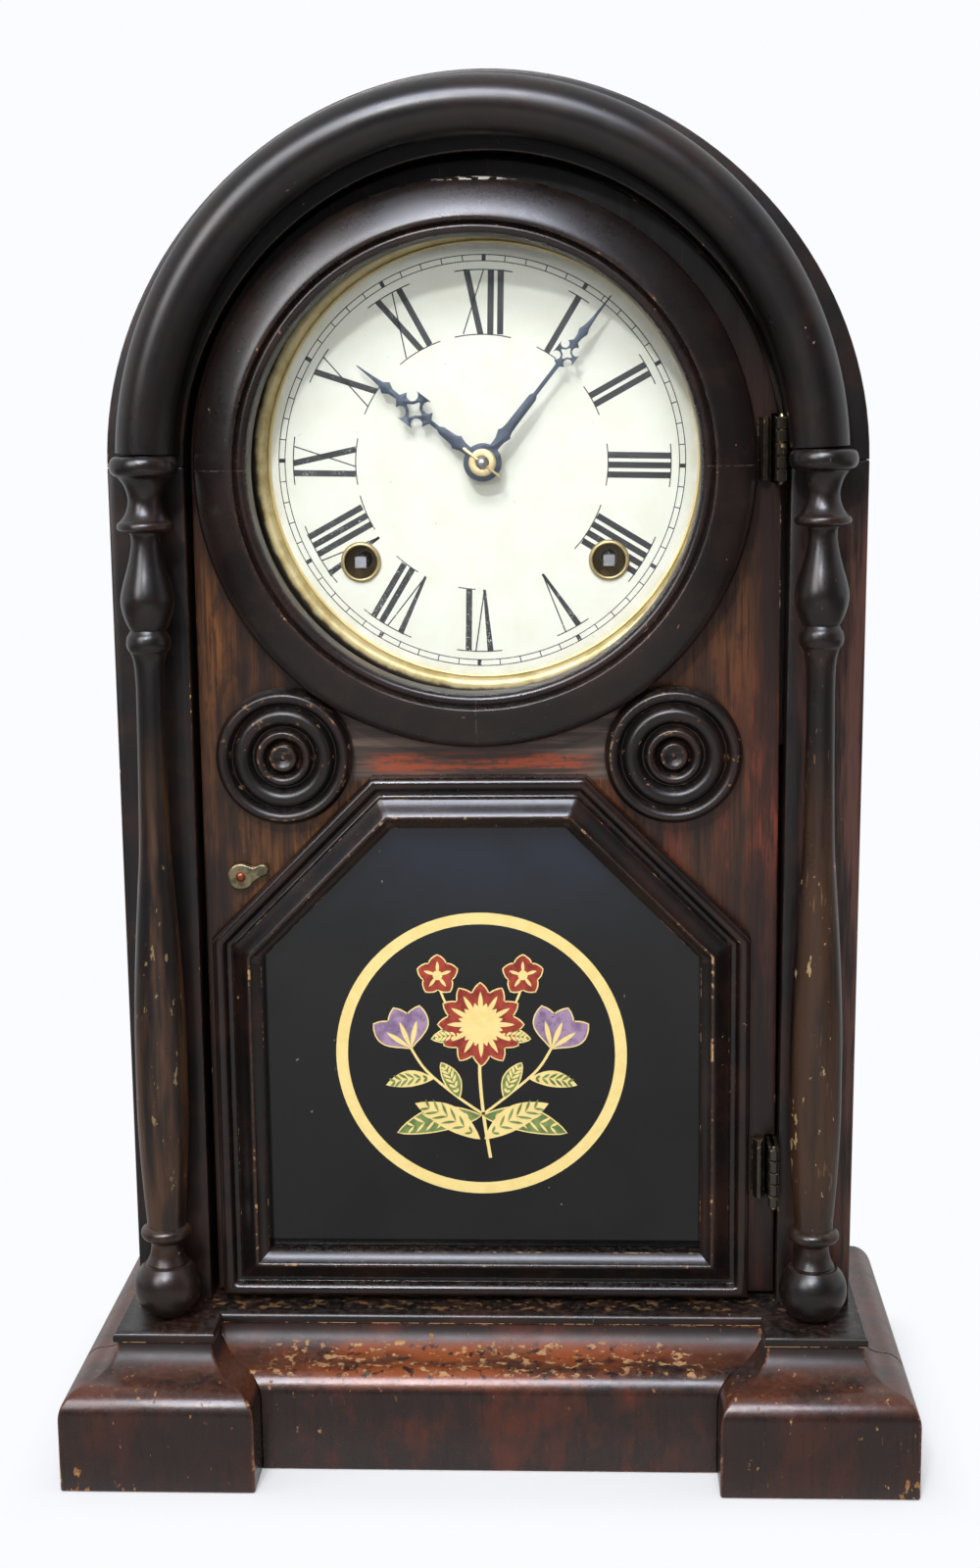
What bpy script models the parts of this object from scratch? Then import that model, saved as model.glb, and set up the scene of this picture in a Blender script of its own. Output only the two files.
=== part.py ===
"""A round-top shelf clock with turned columns, built as an assembly of separate pieces.

Named sizes are in millimetres, and MM turns them into Blender's metres. The clock stands on Z = 0, faces -Y,
and its origin is the middle of its base. Depths are counted back from the front of the feet, because that is
how such a case is set out on the bench.
"""

import math

import bmesh
import bpy
from mathutils import Vector

MM = 0.001
GAP = 0.3  # clearance between pieces that seat on each other
RUN = 0.35  # clearance round anything that turns

# Overall sizes
CASE_W = 222.0
ARCH_Z = 300.5  # springing line of the arch, and the height of the dial's centre

# Plinth
BASE_OVERHANG = 16.1
FOOT_W = 58.4
FOOT_D = 34.0
PANEL_SETBACK = 15.5
SHOULDER_Z = 22.0
SHOULDER_RUN = 7.0
SHOULDER_RISE = 8.6
COVE_R = 7.8
COVE_FILLET = 0.6
TOP_BOARD_T = 3.2
TOP_BOARD_LIP = 1.0
SIDE_MOULDING_T = 30.0

# Front frame and case
FRAME_FRONT = 42.5
FRAME_BEHIND_DOOR = 0.5
FRAME_BAND = 22.5
HOOD_INSET = 2.0
HOOD_WALL = 8.0
BACK_BOARD_T = 7.8

# Columns and arch moulding
COLUMN_INSET = 13.0
COLUMN_DEPTH = 32.2
COLUMN_RISE = 3.5  # the capital stands this far above the springing line
ARCH_MOULDING_R = 8.4
ARCH_MOULDING_RISE = 1.4  # the bent moulding stands this much higher at its top than a true half circle

# Door
DOOR_RECESS = 5.5
DOOR_T = 8.0
DOOR_SWING_GAP = 1.5
DOOR_HINGE_GAP = 0.9
DOOR_HEAD_GAP = 2.2
DOOR_FOOT_GAP = 2.5
DOOR_TRIM_X = -2.0  # the bezel, rosettes and tablet sit this far off the case's middle
BEZEL_MARGIN = 5.2
BEZEL_W = 15.6
BEZEL_H = 14.6
DIAL_GLASS_T = 2.0
TABLET_GLASS_T = 2.2
GLASS_LAP = 5.8
TABLET_MOULDING_W = 15.0
TABLET_MOULDING_H = 10.6
TABLET_BELOW_BEZEL = 11.2
TABLET_FOOT_GAP = 1.0
ROSETTE_R = 20.5
ROSETTE_INSET = 27.6
ROSETTE_CLEAR = 2.3

# Hinges and latch
HINGE_DEPTH = 37.0
BARREL_R = 1.7
HINGE_PIN_R = 0.8
LEAF_T = 0.9
LEAF_SINK = 0.2  # the leaf's face lies this far inside the barrel's side
KNUCKLE_STEP = 0.4  # fingers stop this far inside their knuckles
LEAF_LONG = 17.0
HINGE_H = 18.6
HINGE_KNUCKLES = 5
UPPER_HINGE_BELOW = 6.0  # below the springing line
LOWER_HINGE_ABOVE = 33.5  # above the plinth
LATCH_INSET = 12.5
LATCH_BELOW_ROSETTE = 37.0
LATCH_ANGLE = 23.0
LATCH_REACH = 10.0
LATCH_ARM_REACH = 19.0
LATCH_SHAFT_R = 1.5

# Dial
DIAL_BEHIND_FRAME = 3.5
DIAL_T = 1.2
DIAL_LAP = 1.5
DIAL_TAIL = 86.0
DIAL_RIM_IN = 2.2  # the brass ring shows this much inside the bezel
DIAL_RIM_W = 6.0
DIAL_RIM_H = 2.5
WINDING_X = 37.3
WINDING_DROP = 29.5
GROMMET_R = 6.0
GROMMET_BORE = 4.6
CLEAT_W = 20.7
CLEAT_D = 11.0
CLEAT_H = 60.0

# Hands
MINUTE_ANGLE = 38.6
HOUR_ANGLE = 307.8
HAND_T = 0.8
MINUTE_HAND_FORE = 7.9  # face of each hand in front of the dial
HOUR_HAND_FORE = 5.0
ARBOR_R = 1.7
PIPE_R = 3.4
WASHER_R = 4.1
PIN_LENGTH = 14.2
PIN_R = 0.5
PIN_ANGLE = 38.0

# Movement
MOTION_SPACE = 8.3
PLATE_T = 1.5
PLATE_SPACE = 32.5
BACK_SPACE = 8.2
PLATE_HALF_W = 54.0
PLATE_ABOVE = 34.0
PLATE_BELOW = 62.0
PILLAR_R = 3.0
PILLAR_INSET = 6.0
PIVOT_R = 1.2
BACK_PIVOT_R = 1.6  # of the winding arbors
WINDING_ARBOR_R = 3.4
GREAT_WHEEL_R = 24.0
GREAT_WHEEL_TEETH = 24
SPRING_TURNS = 3
SPRING_PITCH = 5.8
SPRING_STRIP = 0.9
SPRING_WIDTH = 16.0
MOTION_CENTRES = 14.0  # centre arbor to minute wheel stud
MOTION_ANGLE = 150.0
STUD_R = 1.2
WHEEL_T = 1.4
CANNON_TEETH = 12
MINUTE_WHEEL_TEETH = 36
MINUTE_PINION_TEETH = 12
HOUR_WHEEL_TEETH = 48
ESCAPE_DROP = 45.0
ESCAPE_R = 9.5
ESCAPE_TEETH = 20
VERGE_DROP = 28.5
SUSPENSION_DROP = 17.5
PENDULUM_LENGTH = 135.0
PENDULUM_DEPTH_IN = 1.9  # behind the back of the dial
ROD_R = 0.8
BOB_R = 18.0
BOB_T = 8.0
CRUTCH_LENGTH = 27.0

# Strike
GONG_ABOVE = 62.0  # gong centre above the plinth
GONG_IN_R = 12.0
GONG_PITCH = 9.0
GONG_TURNS = 3
GONG_WIRE_R = 1.5
GONG_STAND_R = 7.0
GONG_FORE = 14.0  # plane of the gong in front of the back board
HAMMER_X = -12.0
HAMMER_DROP = 44.0
HAMMER_HEAD_R = 4.0

# Facets round a full turn, by how much a piece shows
RING_STEPS = 32
ARCH_STEPS = 20
TURNED_STEPS = 14
SMALL_STEPS = 8

# Worked-out places
FRAME_R = CASE_W / 2
BASE_HALF = FRAME_R + BASE_OVERHANG
OPENING_R = FRAME_R - FRAME_BAND
COLUMN_X = FRAME_R - COLUMN_INSET
DOOR_FACE = FRAME_FRONT + DOOR_RECESS
DOOR_BACK = DOOR_FACE + DOOR_T
FRAME_BACK = DOOR_BACK + FRAME_BEHIND_DOOR
FRAME_T = FRAME_BACK - FRAME_FRONT
DIAL_FACE = FRAME_BACK + DIAL_BEHIND_FRAME
DIAL_BACK = DIAL_FACE + DIAL_T
FRONT_PLATE = DIAL_BACK + MOTION_SPACE
BACK_PLATE = FRONT_PLATE + PLATE_T + PLATE_SPACE
BACK_BOARD = BACK_PLATE + PLATE_T + BACK_SPACE
BASE_D = BACK_BOARD + BACK_BOARD_T
COVE_Z = SHOULDER_Z + SHOULDER_RISE
MOULDING_TOP = COVE_Z + COVE_R + COVE_FILLET
COVE_BACK = SHOULDER_RUN + COVE_R
PLINTH_TOP = MOULDING_TOP + GAP + TOP_BOARD_T
TOP_BOARD_SETBACK = COVE_BACK - TOP_BOARD_LIP
FOOT_INNER = BASE_HALF - FOOT_W
HOOD_R = FRAME_R - HOOD_INSET
CASE_FLOOR = PLINTH_TOP + GAP
HINGE_X = OPENING_R - GAP - BARREL_R
DOOR_RIGHT = HINGE_X - BARREL_R - GAP
DOOR_LEFT = -OPENING_R + DOOR_SWING_GAP
DOOR_HALF = (DOOR_RIGHT - DOOR_LEFT) / 2
DOOR_X = (DOOR_RIGHT + DOOR_LEFT) / 2
DOOR_FOOT = PLINTH_TOP + DOOR_FOOT_GAP
BEZEL_R = DOOR_HALF - BEZEL_MARGIN + DOOR_X - DOOR_TRIM_X
SIGHT_R = BEZEL_R - BEZEL_W
TABLET_HALF = BEZEL_R
TABLET_FOOT = DOOR_FOOT + TABLET_FOOT_GAP
TABLET_TOP = ARCH_Z - BEZEL_R - TABLET_BELOW_BEZEL
ROSETTE_X = DOOR_HALF - ROSETTE_INSET
ROSETTE_REACH = BEZEL_R + ROSETTE_R + ROSETTE_CLEAR
ROSETTE_Z = ARCH_Z - math.sqrt(ROSETTE_REACH**2 - ROSETTE_X**2)
TABLET_CORNER = ROSETTE_X + ROSETTE_Z - math.sqrt(2) * (ROSETTE_R + ROSETTE_CLEAR)
LATCH_X = DOOR_LEFT + LATCH_INSET
LATCH_Z = ROSETTE_Z - LATCH_BELOW_ROSETTE
DIAL_RIM_R = SIGHT_R - DIAL_RIM_IN
WINDING_Z = ARCH_Z - WINDING_DROP
ESCAPE_Z = ARCH_Z - ESCAPE_DROP
VERGE_Z = ARCH_Z - VERGE_DROP
SUSPENSION_Z = ARCH_Z - SUSPENSION_DROP
ROD_DEPTH = DIAL_BACK + PENDULUM_DEPTH_IN
HAMMER_Z = ARCH_Z - HAMMER_DROP
GONG_Z = PLINTH_TOP + GONG_ABOVE
GONG_DEPTH = BACK_BOARD - GONG_FORE
GONG_OUT_R = GONG_IN_R + GONG_PITCH * GONG_TURNS
STUD_X = MOTION_CENTRES * math.cos(math.radians(MOTION_ANGLE))
STUD_Z = ARCH_Z + MOTION_CENTRES * math.sin(math.radians(MOTION_ANGLE))
HOUR_WHEEL_FRONT = DIAL_BACK + 1.0
MINUTE_WHEEL_FRONT = DIAL_BACK + 5.0


def new_collection(name):
    made = bpy.data.collections.new(name)
    bpy.context.scene.collection.children.link(made)
    return made


for old in list(bpy.data.objects):
    bpy.data.objects.remove(old, do_unlink=True)
PARTS = new_collection("shelf_clock")
TOOLS = new_collection("cutters_and_joined_shapes")


def finish(name, colour, roughness, metallic=0.0):
    made = bpy.data.materials.new(name)
    made.use_nodes = True
    shader = made.node_tree.nodes["Principled BSDF"]
    shader.inputs["Base Color"].default_value = (*colour, 1.0)
    shader.inputs["Roughness"].default_value = roughness
    shader.inputs["Metallic"].default_value = metallic
    made.diffuse_color = (*colour, 1.0)
    return made


EBONISED = finish("ebonised_wood", (0.022, 0.014, 0.011), 0.34)
PLINTH_WOOD = finish("plinth_veneer", (0.060, 0.022, 0.012), 0.32)
ROSEWOOD = finish("rosewood_veneer", (0.100, 0.036, 0.016), 0.38)
PINE = finish("pine", (0.420, 0.270, 0.140), 0.65)
ENAMEL = finish("dial_paint", (0.860, 0.850, 0.740), 0.45)
BRASS = finish("brass", (0.480, 0.350, 0.150), 0.36, 1.0)
STEEL = finish("steel", (0.420, 0.420, 0.430), 0.34, 1.0)
BLUED = finish("blackened_steel", (0.030, 0.032, 0.045), 0.40, 0.6)
IRON = finish("hinge_iron", (0.035, 0.028, 0.022), 0.50, 0.8)
GLASS = finish("clear_glass", (0.900, 0.930, 0.910), 0.04)
BLACK_GLASS = finish("black_glass", (0.008, 0.009, 0.014), 0.06)


def y_of(depth):
    """World Y of a depth behind the front of the feet."""
    return depth - BASE_D / 2


def at(x, depth, z):
    return Vector((x, y_of(depth), z)) * MM


def arc(cx, cy, rx, start, end, steps, ry=None):
    """Points on a round or oval arc, from one angle in degrees to another."""
    ry = rx if ry is None else ry
    angles = [math.radians(start + (end - start) * i / steps) for i in range(steps + 1)]
    return [(cx + rx * math.cos(a), cy + ry * math.sin(a)) for a in angles]


def circle(cx, cy, r, steps):
    return arc(cx, cy, r, 0, 360 - 360 / steps, steps - 1)


def smooth(knots, per_span):
    """A Catmull-Rom curve through the knots."""
    points = []
    for i in range(len(knots) - 1):
        before = Vector(knots[max(i - 1, 0)])
        here, there = Vector(knots[i]), Vector(knots[i + 1])
        after = Vector(knots[min(i + 2, len(knots) - 1)])
        for k in range(per_span):
            t = k / per_span
            slope_in, slope_out = (there - before) / 2, (after - here) / 2
            points.append(tuple(
                here * (2 * t**3 - 3 * t**2 + 1)
                + slope_in * (t**3 - 2 * t**2 + t)
                + there * (3 * t**2 - 2 * t**3)
                + slope_out * (t**3 - t**2)
            ))
    return points + [tuple(knots[-1])]


def mirrored(half):
    """A closed outline from its right half, listed from the bottom up."""
    return half + [(-x, z) for x, z in reversed(half) if abs(x) > 1e-6]


def placed(name, data, material, location=(0, 0, 0), rotation=(0, 0, 0)):
    data.materials.append(material)
    made = bpy.data.objects.new(name, data)
    made.location = location
    made.rotation_euler = rotation
    PARTS.objects.link(made)
    return made


def flat(name, outlines, thickness, material, location, rotation=(0, 0, 0)):
    """A flat piece with holes: the outlines are filled and thickened evenly about their plane."""
    curve = bpy.data.curves.new(name, "CURVE")
    curve.dimensions = "2D"
    curve.fill_mode = "BOTH"
    curve.extrude = thickness * MM / 2
    for outline in outlines:
        spline = curve.splines.new("POLY")
        spline.points.add(len(outline) - 1)
        spline.use_cyclic_u = True
        for point, (x, y) in zip(spline.points, outline):
            point.co = (x * MM, y * MM, 0, 1)
    return as_mesh(placed(name, curve, material, location, rotation))


def as_mesh(curve_object):
    """The curve's solid as a mesh object with its caps welded, under the same name."""
    graph = bpy.context.evaluated_depsgraph_get()
    mesh = bpy.data.meshes.new_from_object(curve_object.evaluated_get(graph))
    shape = bmesh.new()
    shape.from_mesh(mesh)
    bmesh.ops.remove_doubles(shape, verts=shape.verts, dist=1e-6)
    bmesh.ops.recalc_face_normals(shape, faces=shape.faces)
    shape.to_mesh(mesh)
    shape.free()
    name, matrix = curve_object.name, curve_object.matrix_basis.copy()
    bpy.data.objects.remove(curve_object, do_unlink=True)
    made = bpy.data.objects.new(name, mesh)
    made.matrix_basis = matrix
    PARTS.objects.link(made)
    return made


UPRIGHT = math.pi / 2


def panel(name, outlines, front, thickness, material, x=0.0, z=0.0, turn=0.0):
    """A flat upright piece: outlines in X and Z about (x, z), its face at depth front, turned clockwise."""
    spot = at(x, front + thickness / 2, z)
    return flat(name, outlines, thickness, material, spot, (UPRIGHT, math.radians(turn), 0))


def board(name, outline, low, high, material):
    """A flat lying piece: its outline in X and depth, between two heights."""
    plan = [(x, y_of(depth)) for x, depth in outline]
    return flat(name, [plan], high - low, material, (0, 0, (low + high) / 2 * MM))


def block(name, x0, x1, front, back, z0, z1, material):
    mesh = bpy.data.meshes.new(name)
    shape = bmesh.new()
    bmesh.ops.create_cube(shape, size=1)
    bmesh.ops.scale(shape, vec=Vector((abs(x1 - x0), back - front, z1 - z0)) * MM, verts=shape.verts)
    shape.to_mesh(mesh)
    shape.free()
    return placed(name, mesh, material, at((x0 + x1) / 2, (front + back) / 2, (z0 + z1) / 2))


def turned(name, profile, material, location, steps, facing="front", ring=False):
    """A turned piece. The profile holds (radius, height) down its outer side, height up or to the front."""
    mesh = bpy.data.meshes.new(name)
    links = [(i, i + 1) for i in range(len(profile) - 1)]
    if ring:
        links.append((len(profile) - 1, 0))
    mesh.from_pydata([(r * MM, 0, h * MM) for r, h in profile], links, [])
    made = placed(name, mesh, material, location, (UPRIGHT if facing == "front" else 0, 0, 0))
    screw = made.modifiers.new("turn", "SCREW")
    screw.steps = screw.render_steps = steps
    screw.use_merge_vertices = True
    screw.merge_threshold = 0.00001
    screw.use_smooth_shade = True
    return made


def shaft(name, profile, material, x, z, steps):
    """A turned piece along Y: the profile holds (radius, depth) from the front end to the back end."""
    return turned(name, [(r, -y_of(depth)) for r, depth in profile], material, Vector((x, 0, z)) * MM, steps)


def rod(name, radius, front, back, material, x, z, steps):
    return shaft(name, [(0, front), (radius, front), (radius, back), (0, back)], material, x, z, steps)


def loft(name, rings, material, closed=False):
    """A solid through rings of points, capped at its ends, or joined end to end where closed."""
    shape = bmesh.new()
    loops = [[shape.verts.new(point) for point in ring] for ring in rings]
    pairs = list(zip(loops, loops[1:]))
    if closed:
        pairs.append((loops[-1], loops[0]))
    else:
        shape.faces.new(loops[0])
        shape.faces.new(loops[-1])
    for low, high in pairs:
        for i in range(len(low)):
            j = (i + 1) % len(low)
            shape.faces.new((low[i], low[j], high[j], high[i]))
    bmesh.ops.recalc_face_normals(shape, faces=shape.faces)
    mesh = bpy.data.meshes.new(name)
    shape.to_mesh(mesh)
    shape.free()
    return placed(name, mesh, material)


def combine(target, tool, operation):
    """A Boolean with a helper shape, which is then kept out of the finished object."""
    PARTS.objects.unlink(tool)
    TOOLS.objects.link(tool)
    tool.hide_render = True
    tool.display_type = "WIRE"
    step = target.modifiers.new(tool.name, "BOOLEAN")
    step.operation = operation
    step.object = tool


def add(target, *tools):
    for tool in tools:
        combine(target, tool, "UNION")
    return target


def cut(target, *tools):
    for tool in tools:
        combine(target, tool, "DIFFERENCE")
    return target


def pivot(name, x, depth, z, *pieces):
    """An empty on a joint's axis that carries the pieces which move about it."""
    axis = bpy.data.objects.new(name, None)
    axis.location = at(x, depth, z)
    axis.empty_display_size = 0.01
    PARTS.objects.link(axis)
    for piece in pieces:
        piece.parent = axis
        piece.location -= axis.location
    return axis


def plinth_profile():
    """(setback, height) up the plinth's face: foot, round shoulder, cove and fillet."""
    shoulder = arc(SHOULDER_RUN, SHOULDER_Z, SHOULDER_RUN, 180, 90, 5, SHOULDER_RISE)
    cove = arc(SHOULDER_RUN, COVE_Z + COVE_R, COVE_R, -90, 0, 5)
    return [(0, 0)] + shoulder + cove[1:] + [(COVE_BACK, MOULDING_TOP)]


def plinth():
    for side, name in ((-1, "left"), (1, "right")):
        foot = []
        moulding = []
        for s, z in plinth_profile():
            inner, outer = side * (FOOT_INNER + s), side * (BASE_HALF - s)
            foot.append([at(inner, s, z), at(outer, s, z), at(outer, FOOT_D, z), at(inner, FOOT_D, z)])
            flank = side * (BASE_HALF - SIDE_MOULDING_T)
            moulding.append([
                at(outer, FOOT_D + GAP, z), at(outer, BASE_D, z),
                at(flank, BASE_D, z), at(flank, FOOT_D + GAP, z),
            ])
        loft(f"foot_block_{name}", foot, PLINTH_WOOD)
        loft(f"plinth_side_{name}", moulding, PLINTH_WOOD)
    front = []
    for s, z in plinth_profile():
        half = FOOT_INNER + s - GAP
        face = PANEL_SETBACK + s
        front.append([at(-half, face, z), at(half, face, z), at(half, FOOT_D, z), at(-half, FOOT_D, z)])
    loft("plinth_front", front, PLINTH_WOOD)
    rail = BASE_HALF - SIDE_MOULDING_T - GAP
    block("plinth_back", -rail, rail, BACK_BOARD, BASE_D, 0, MOULDING_TOP, PINE)
    out = BASE_HALF - TOP_BOARD_SETBACK
    inset = FOOT_INNER + TOP_BOARD_SETBACK
    tongue = TOP_BOARD_SETBACK
    middle = PANEL_SETBACK + TOP_BOARD_SETBACK
    outline = [
        (-out, BASE_D), (-out, tongue), (-inset, tongue), (-inset, middle),
        (inset, middle), (inset, tongue), (out, tongue), (out, BASE_D),
    ]
    board("plinth_top", outline, MOULDING_TOP + GAP, PLINTH_TOP, PLINTH_WOOD)


def arch_band(inner, outer, steps):
    """Half a flat ring over the springing line, about the arch's centre."""
    return arc(0, 0, outer, 0, 180, steps) + arc(0, 0, inner, 180, 0, steps)


def arched(half, foot, steps):
    """A doorway outline: straight sides from foot up to the springing line, and a round head."""
    return [(-half, foot), (half, foot)] + arc(0, 0, half, 0, 180, steps)


def case():
    for side, name in ((-1, "left"), (1, "right")):
        stile = sorted((side * OPENING_R, side * FRAME_R))
        block(f"stile_{name}", *stile, FRAME_FRONT, FRAME_BACK, CASE_FLOOR, ARCH_Z - GAP / 2, EBONISED)
        wall = sorted((side * (HOOD_R - HOOD_WALL), side * HOOD_R))
        hood_front, hood_back = FRAME_BACK + GAP, BACK_BOARD - GAP
        block(f"side_board_{name}", *wall, hood_front, hood_back, CASE_FLOOR, ARCH_Z - GAP / 2, EBONISED)
    springing = ARCH_Z + GAP / 2
    face = arch_band(OPENING_R, FRAME_R, ARCH_STEPS)
    arch = panel("arch_frame", [face], FRAME_FRONT, FRAME_T, EBONISED, z=springing)
    mortise_top = ARCH_Z - UPPER_HINGE_BELOW + HINGE_H + GAP
    mortise = block(
        "hinge_mortise", HINGE_X, HINGE_X + BARREL_R + GAP, FRAME_FRONT - 1, HINGE_DEPTH + LEAF_LONG + GAP,
        ARCH_Z - 1, mortise_top, EBONISED,
    )
    cut(arch, mortise)
    hood = arch_band(HOOD_R - HOOD_WALL, HOOD_R, ARCH_STEPS)
    hood_deep = BACK_BOARD - FRAME_BACK - 2 * GAP
    panel("arch_top", [hood], FRAME_BACK + GAP, hood_deep, EBONISED, z=springing)
    back = arched(HOOD_R, CASE_FLOOR - ARCH_Z, ARCH_STEPS)
    panel("back_board", [back], BACK_BOARD, BACK_BOARD_T, PINE, z=ARCH_Z)


def arch_moulding():
    """A half-round on straight sides, bent round the arch from one capital to the other."""
    section = arc(0, -COLUMN_DEPTH, ARCH_MOULDING_R, 180, 0, 7)
    section += [(ARCH_MOULDING_R, GAP - FRAME_FRONT), (-ARCH_MOULDING_R, GAP - FRAME_FRONT)]
    start = math.asin((COLUMN_RISE + GAP) / (COLUMN_X - ARCH_MOULDING_R))
    rings = []
    for i in range(ARCH_STEPS + 1):
        angle = start + (math.pi - 2 * start) * i / ARCH_STEPS
        ring = []
        for across, fore in section:
            reach = COLUMN_X + across + ARCH_MOULDING_RISE * math.sin(angle) ** 2
            ring.append(at(reach * math.cos(angle), -fore, ARCH_Z + reach * math.sin(angle)))
        rings.append(ring)
    loft("arch_moulding", rings, EBONISED)


def bead(z, reach, root, half):
    """A rounded turned ring, from its upper edge down."""
    return arc(root, z, reach - root, 90, -90, 3, half)


def column_profile():
    """(radius, height) down a column: capital, vase, ring, swelling shaft, lower ring and ball foot."""
    top, foot = ARCH_Z + COLUMN_RISE, CASE_FLOOR
    capital = [(0, top), (8.6, top), (10.0, top - 1.6), (10.0, top - 4.4), (8.0, top - 6.0)]
    neck = [(6.0, top - 8.0), (4.5, top - 12.1), (5.4, top - 16.4)]
    skirt = [(7.9, top - 19.4), (7.9, top - 21.0), (4.9, top - 21.9)]
    vase = smooth([(4.2, top - 24.0), (5.4, top - 32.4), (7.4, top - 41.6), (5.2, top - 50.2)], 2)
    collar = bead(top - 53.8, 6.5, 5.2, 2.6)
    shaft_top, shaft_foot = top - 58.0, foot + 31.4
    swell = [(0.0, 5.0), (0.06, 4.3), (0.30, 4.6), (0.48, 6.4)]
    swell += [(0.66, 7.7), (0.83, 7.7), (0.93, 6.8), (1.0, 5.8)]
    drop = shaft_top - shaft_foot
    body = [(r, shaft_top - drop * share) for share, r in swell]
    ring = bead(foot + 27.0, 7.7, 5.2, 2.1)
    waist = [(4.1, foot + 21.5), (4.4, foot + 19.2)]
    ball = arc(0, foot + 9.5, 9.8, 62, -68, 5)
    return capital + neck + skirt + vase + collar + body + ring + waist + ball + [(3.6, foot), (0, foot)]


def columns():
    profile = column_profile()
    for side, name in ((-1, "left"), (1, "right")):
        foot = at(side * COLUMN_X, COLUMN_DEPTH, 0)
        turned(f"column_{name}", profile, EBONISED, foot, TURNED_STEPS, facing="up")


def tablet_outline(inset):
    """The tablet frame's outline about the door trim's middle: a box with its upper corners cut off."""
    half, foot, top = TABLET_HALF - inset, TABLET_FOOT + inset, TABLET_TOP - inset
    corner = TABLET_CORNER - math.sqrt(2) * inset
    return [
        (-half, foot), (half, foot), (half, corner - half),
        (corner - top, top), (top - corner, top), (-half, corner - half),
    ]


def tablet_moulding():
    w, h, rebate = TABLET_MOULDING_W, TABLET_MOULDING_H, TABLET_GLASS_T + 2 * GAP
    profile = [(0, GAP), (0, 5.8)]
    profile += arc(2.0, 5.8, 2.0, 180, 20, 4)
    profile += [(4.6, 5.4), (6.2, 5.6), (6.4, 7.2)]
    profile += [(8.2, h - 2.0), (10.2, h - 0.6), (w - 3.6, h), (w - 3.0, h - 0.4)]
    profile += [(w, 6.2), (w, rebate), (w - GLASS_LAP, rebate), (w - GLASS_LAP, GAP)]
    rings = []
    for inset, up in profile:
        rings.append([at(DOOR_TRIM_X + x, DOOR_FACE - up, z) for x, z in tablet_outline(inset)])
    return loft("tablet_moulding", rings, EBONISED, closed=True)


def bezel_ring():
    rebate = DIAL_GLASS_T + 2 * GAP
    crest = SIGHT_R + 2.6
    knots = [(crest, BEZEL_H), (crest + 2.7, BEZEL_H - 0.7), (BEZEL_R - 4.5, 11.4), (BEZEL_R - 0.9, 9.0)]
    swell = smooth(knots, 2)
    wall = [(BEZEL_R, 7.4), (BEZEL_R, GAP), (SIGHT_R + GLASS_LAP, GAP), (SIGHT_R + GLASS_LAP, rebate)]
    lip = [(SIGHT_R, rebate), (SIGHT_R, 11.4)]
    lip += arc(SIGHT_R + 0.9, 11.8, 0.9, 180, 20, 3)
    lip += [(crest - 0.4, 11.8)]
    place = at(DOOR_TRIM_X, DOOR_FACE, ARCH_Z)
    return turned("bezel_ring", swell + wall + lip, EBONISED, place, RING_STEPS, ring=True)


def rosette(name, x):
    base = 4.2
    profile = [(0, 7.6), (2.4, 7.2), (4.3, 5.2)]
    for inset, ridge in ((13.5, 2.1), (8.1, 3.1), (2.4, 2.4)):
        profile += arc(ROSETTE_R - inset, base, ridge, 168, 12, 3, 3.2)
    profile += [(ROSETTE_R, base), (ROSETTE_R, GAP), (0, GAP)]
    return turned(name, profile, EBONISED, at(x, DOOR_FACE, ROSETTE_Z), 16)


def door_outline():
    """The board's edge. On the hinge side it comes close to the frame, with a gain cut for each hinge."""
    right = OPENING_R - DOOR_HINGE_GAP
    x, half = (right + DOOR_LEFT) / 2, (right - DOOR_LEFT) / 2
    points = [(DOOR_LEFT, DOOR_FOOT), (right, DOOR_FOOT)]
    for low in (PLINTH_TOP + LOWER_HINGE_ABOVE, ARCH_Z - UPPER_HINGE_BELOW):
        foot, top = low - 2 * GAP, low + HINGE_H + 2 * GAP
        points += [(right, foot), (DOOR_RIGHT, foot), (DOOR_RIGHT, top), (right, top)]
    springing = ARCH_Z + OPENING_R - DOOR_HEAD_GAP - half
    start = math.asin((top - springing) / half)
    points[-1] = (x + half * math.cos(start), top)
    return points + arc(x, springing, half, math.degrees(start), 180, ARCH_STEPS)[1:]


def door():
    """The board with its two windows, what is glued to its face, and the two panes behind the mouldings."""
    outline = door_outline()
    window = circle(DOOR_TRIM_X, ARCH_Z, SIGHT_R + GLASS_LAP / 2, RING_STEPS)
    light = [(DOOR_TRIM_X + x, z) for x, z in tablet_outline(TABLET_MOULDING_W - GLASS_LAP / 2)]
    shaft_hole = circle(LATCH_X, LATCH_Z, LATCH_SHAFT_R + RUN, SMALL_STEPS)
    wood = panel("door_board", [outline, window, light, shaft_hole], DOOR_FACE, DOOR_T, ROSEWOOD)
    pane_r = SIGHT_R + GLASS_LAP - GAP
    pane = [(0, GAP + DIAL_GLASS_T), (pane_r, GAP + DIAL_GLASS_T), (pane_r, GAP), (0, GAP)]
    dial_glass = turned("dial_glass", pane, GLASS, at(DOOR_TRIM_X, DOOR_FACE, ARCH_Z), RING_STEPS)
    sheet = [(DOOR_TRIM_X + x, z) for x, z in tablet_outline(TABLET_MOULDING_W - GLASS_LAP + GAP)]
    tablet_front = DOOR_FACE - GAP - TABLET_GLASS_T
    tablet_glass = panel("tablet_glass", [sheet], tablet_front, TABLET_GLASS_T, BLACK_GLASS)
    left = rosette("rosette_left", DOOR_TRIM_X - ROSETTE_X)
    right = rosette("rosette_right", DOOR_TRIM_X + ROSETTE_X)
    return [wood, bezel_ring(), dial_glass, tablet_moulding(), tablet_glass, left, right]


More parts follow.
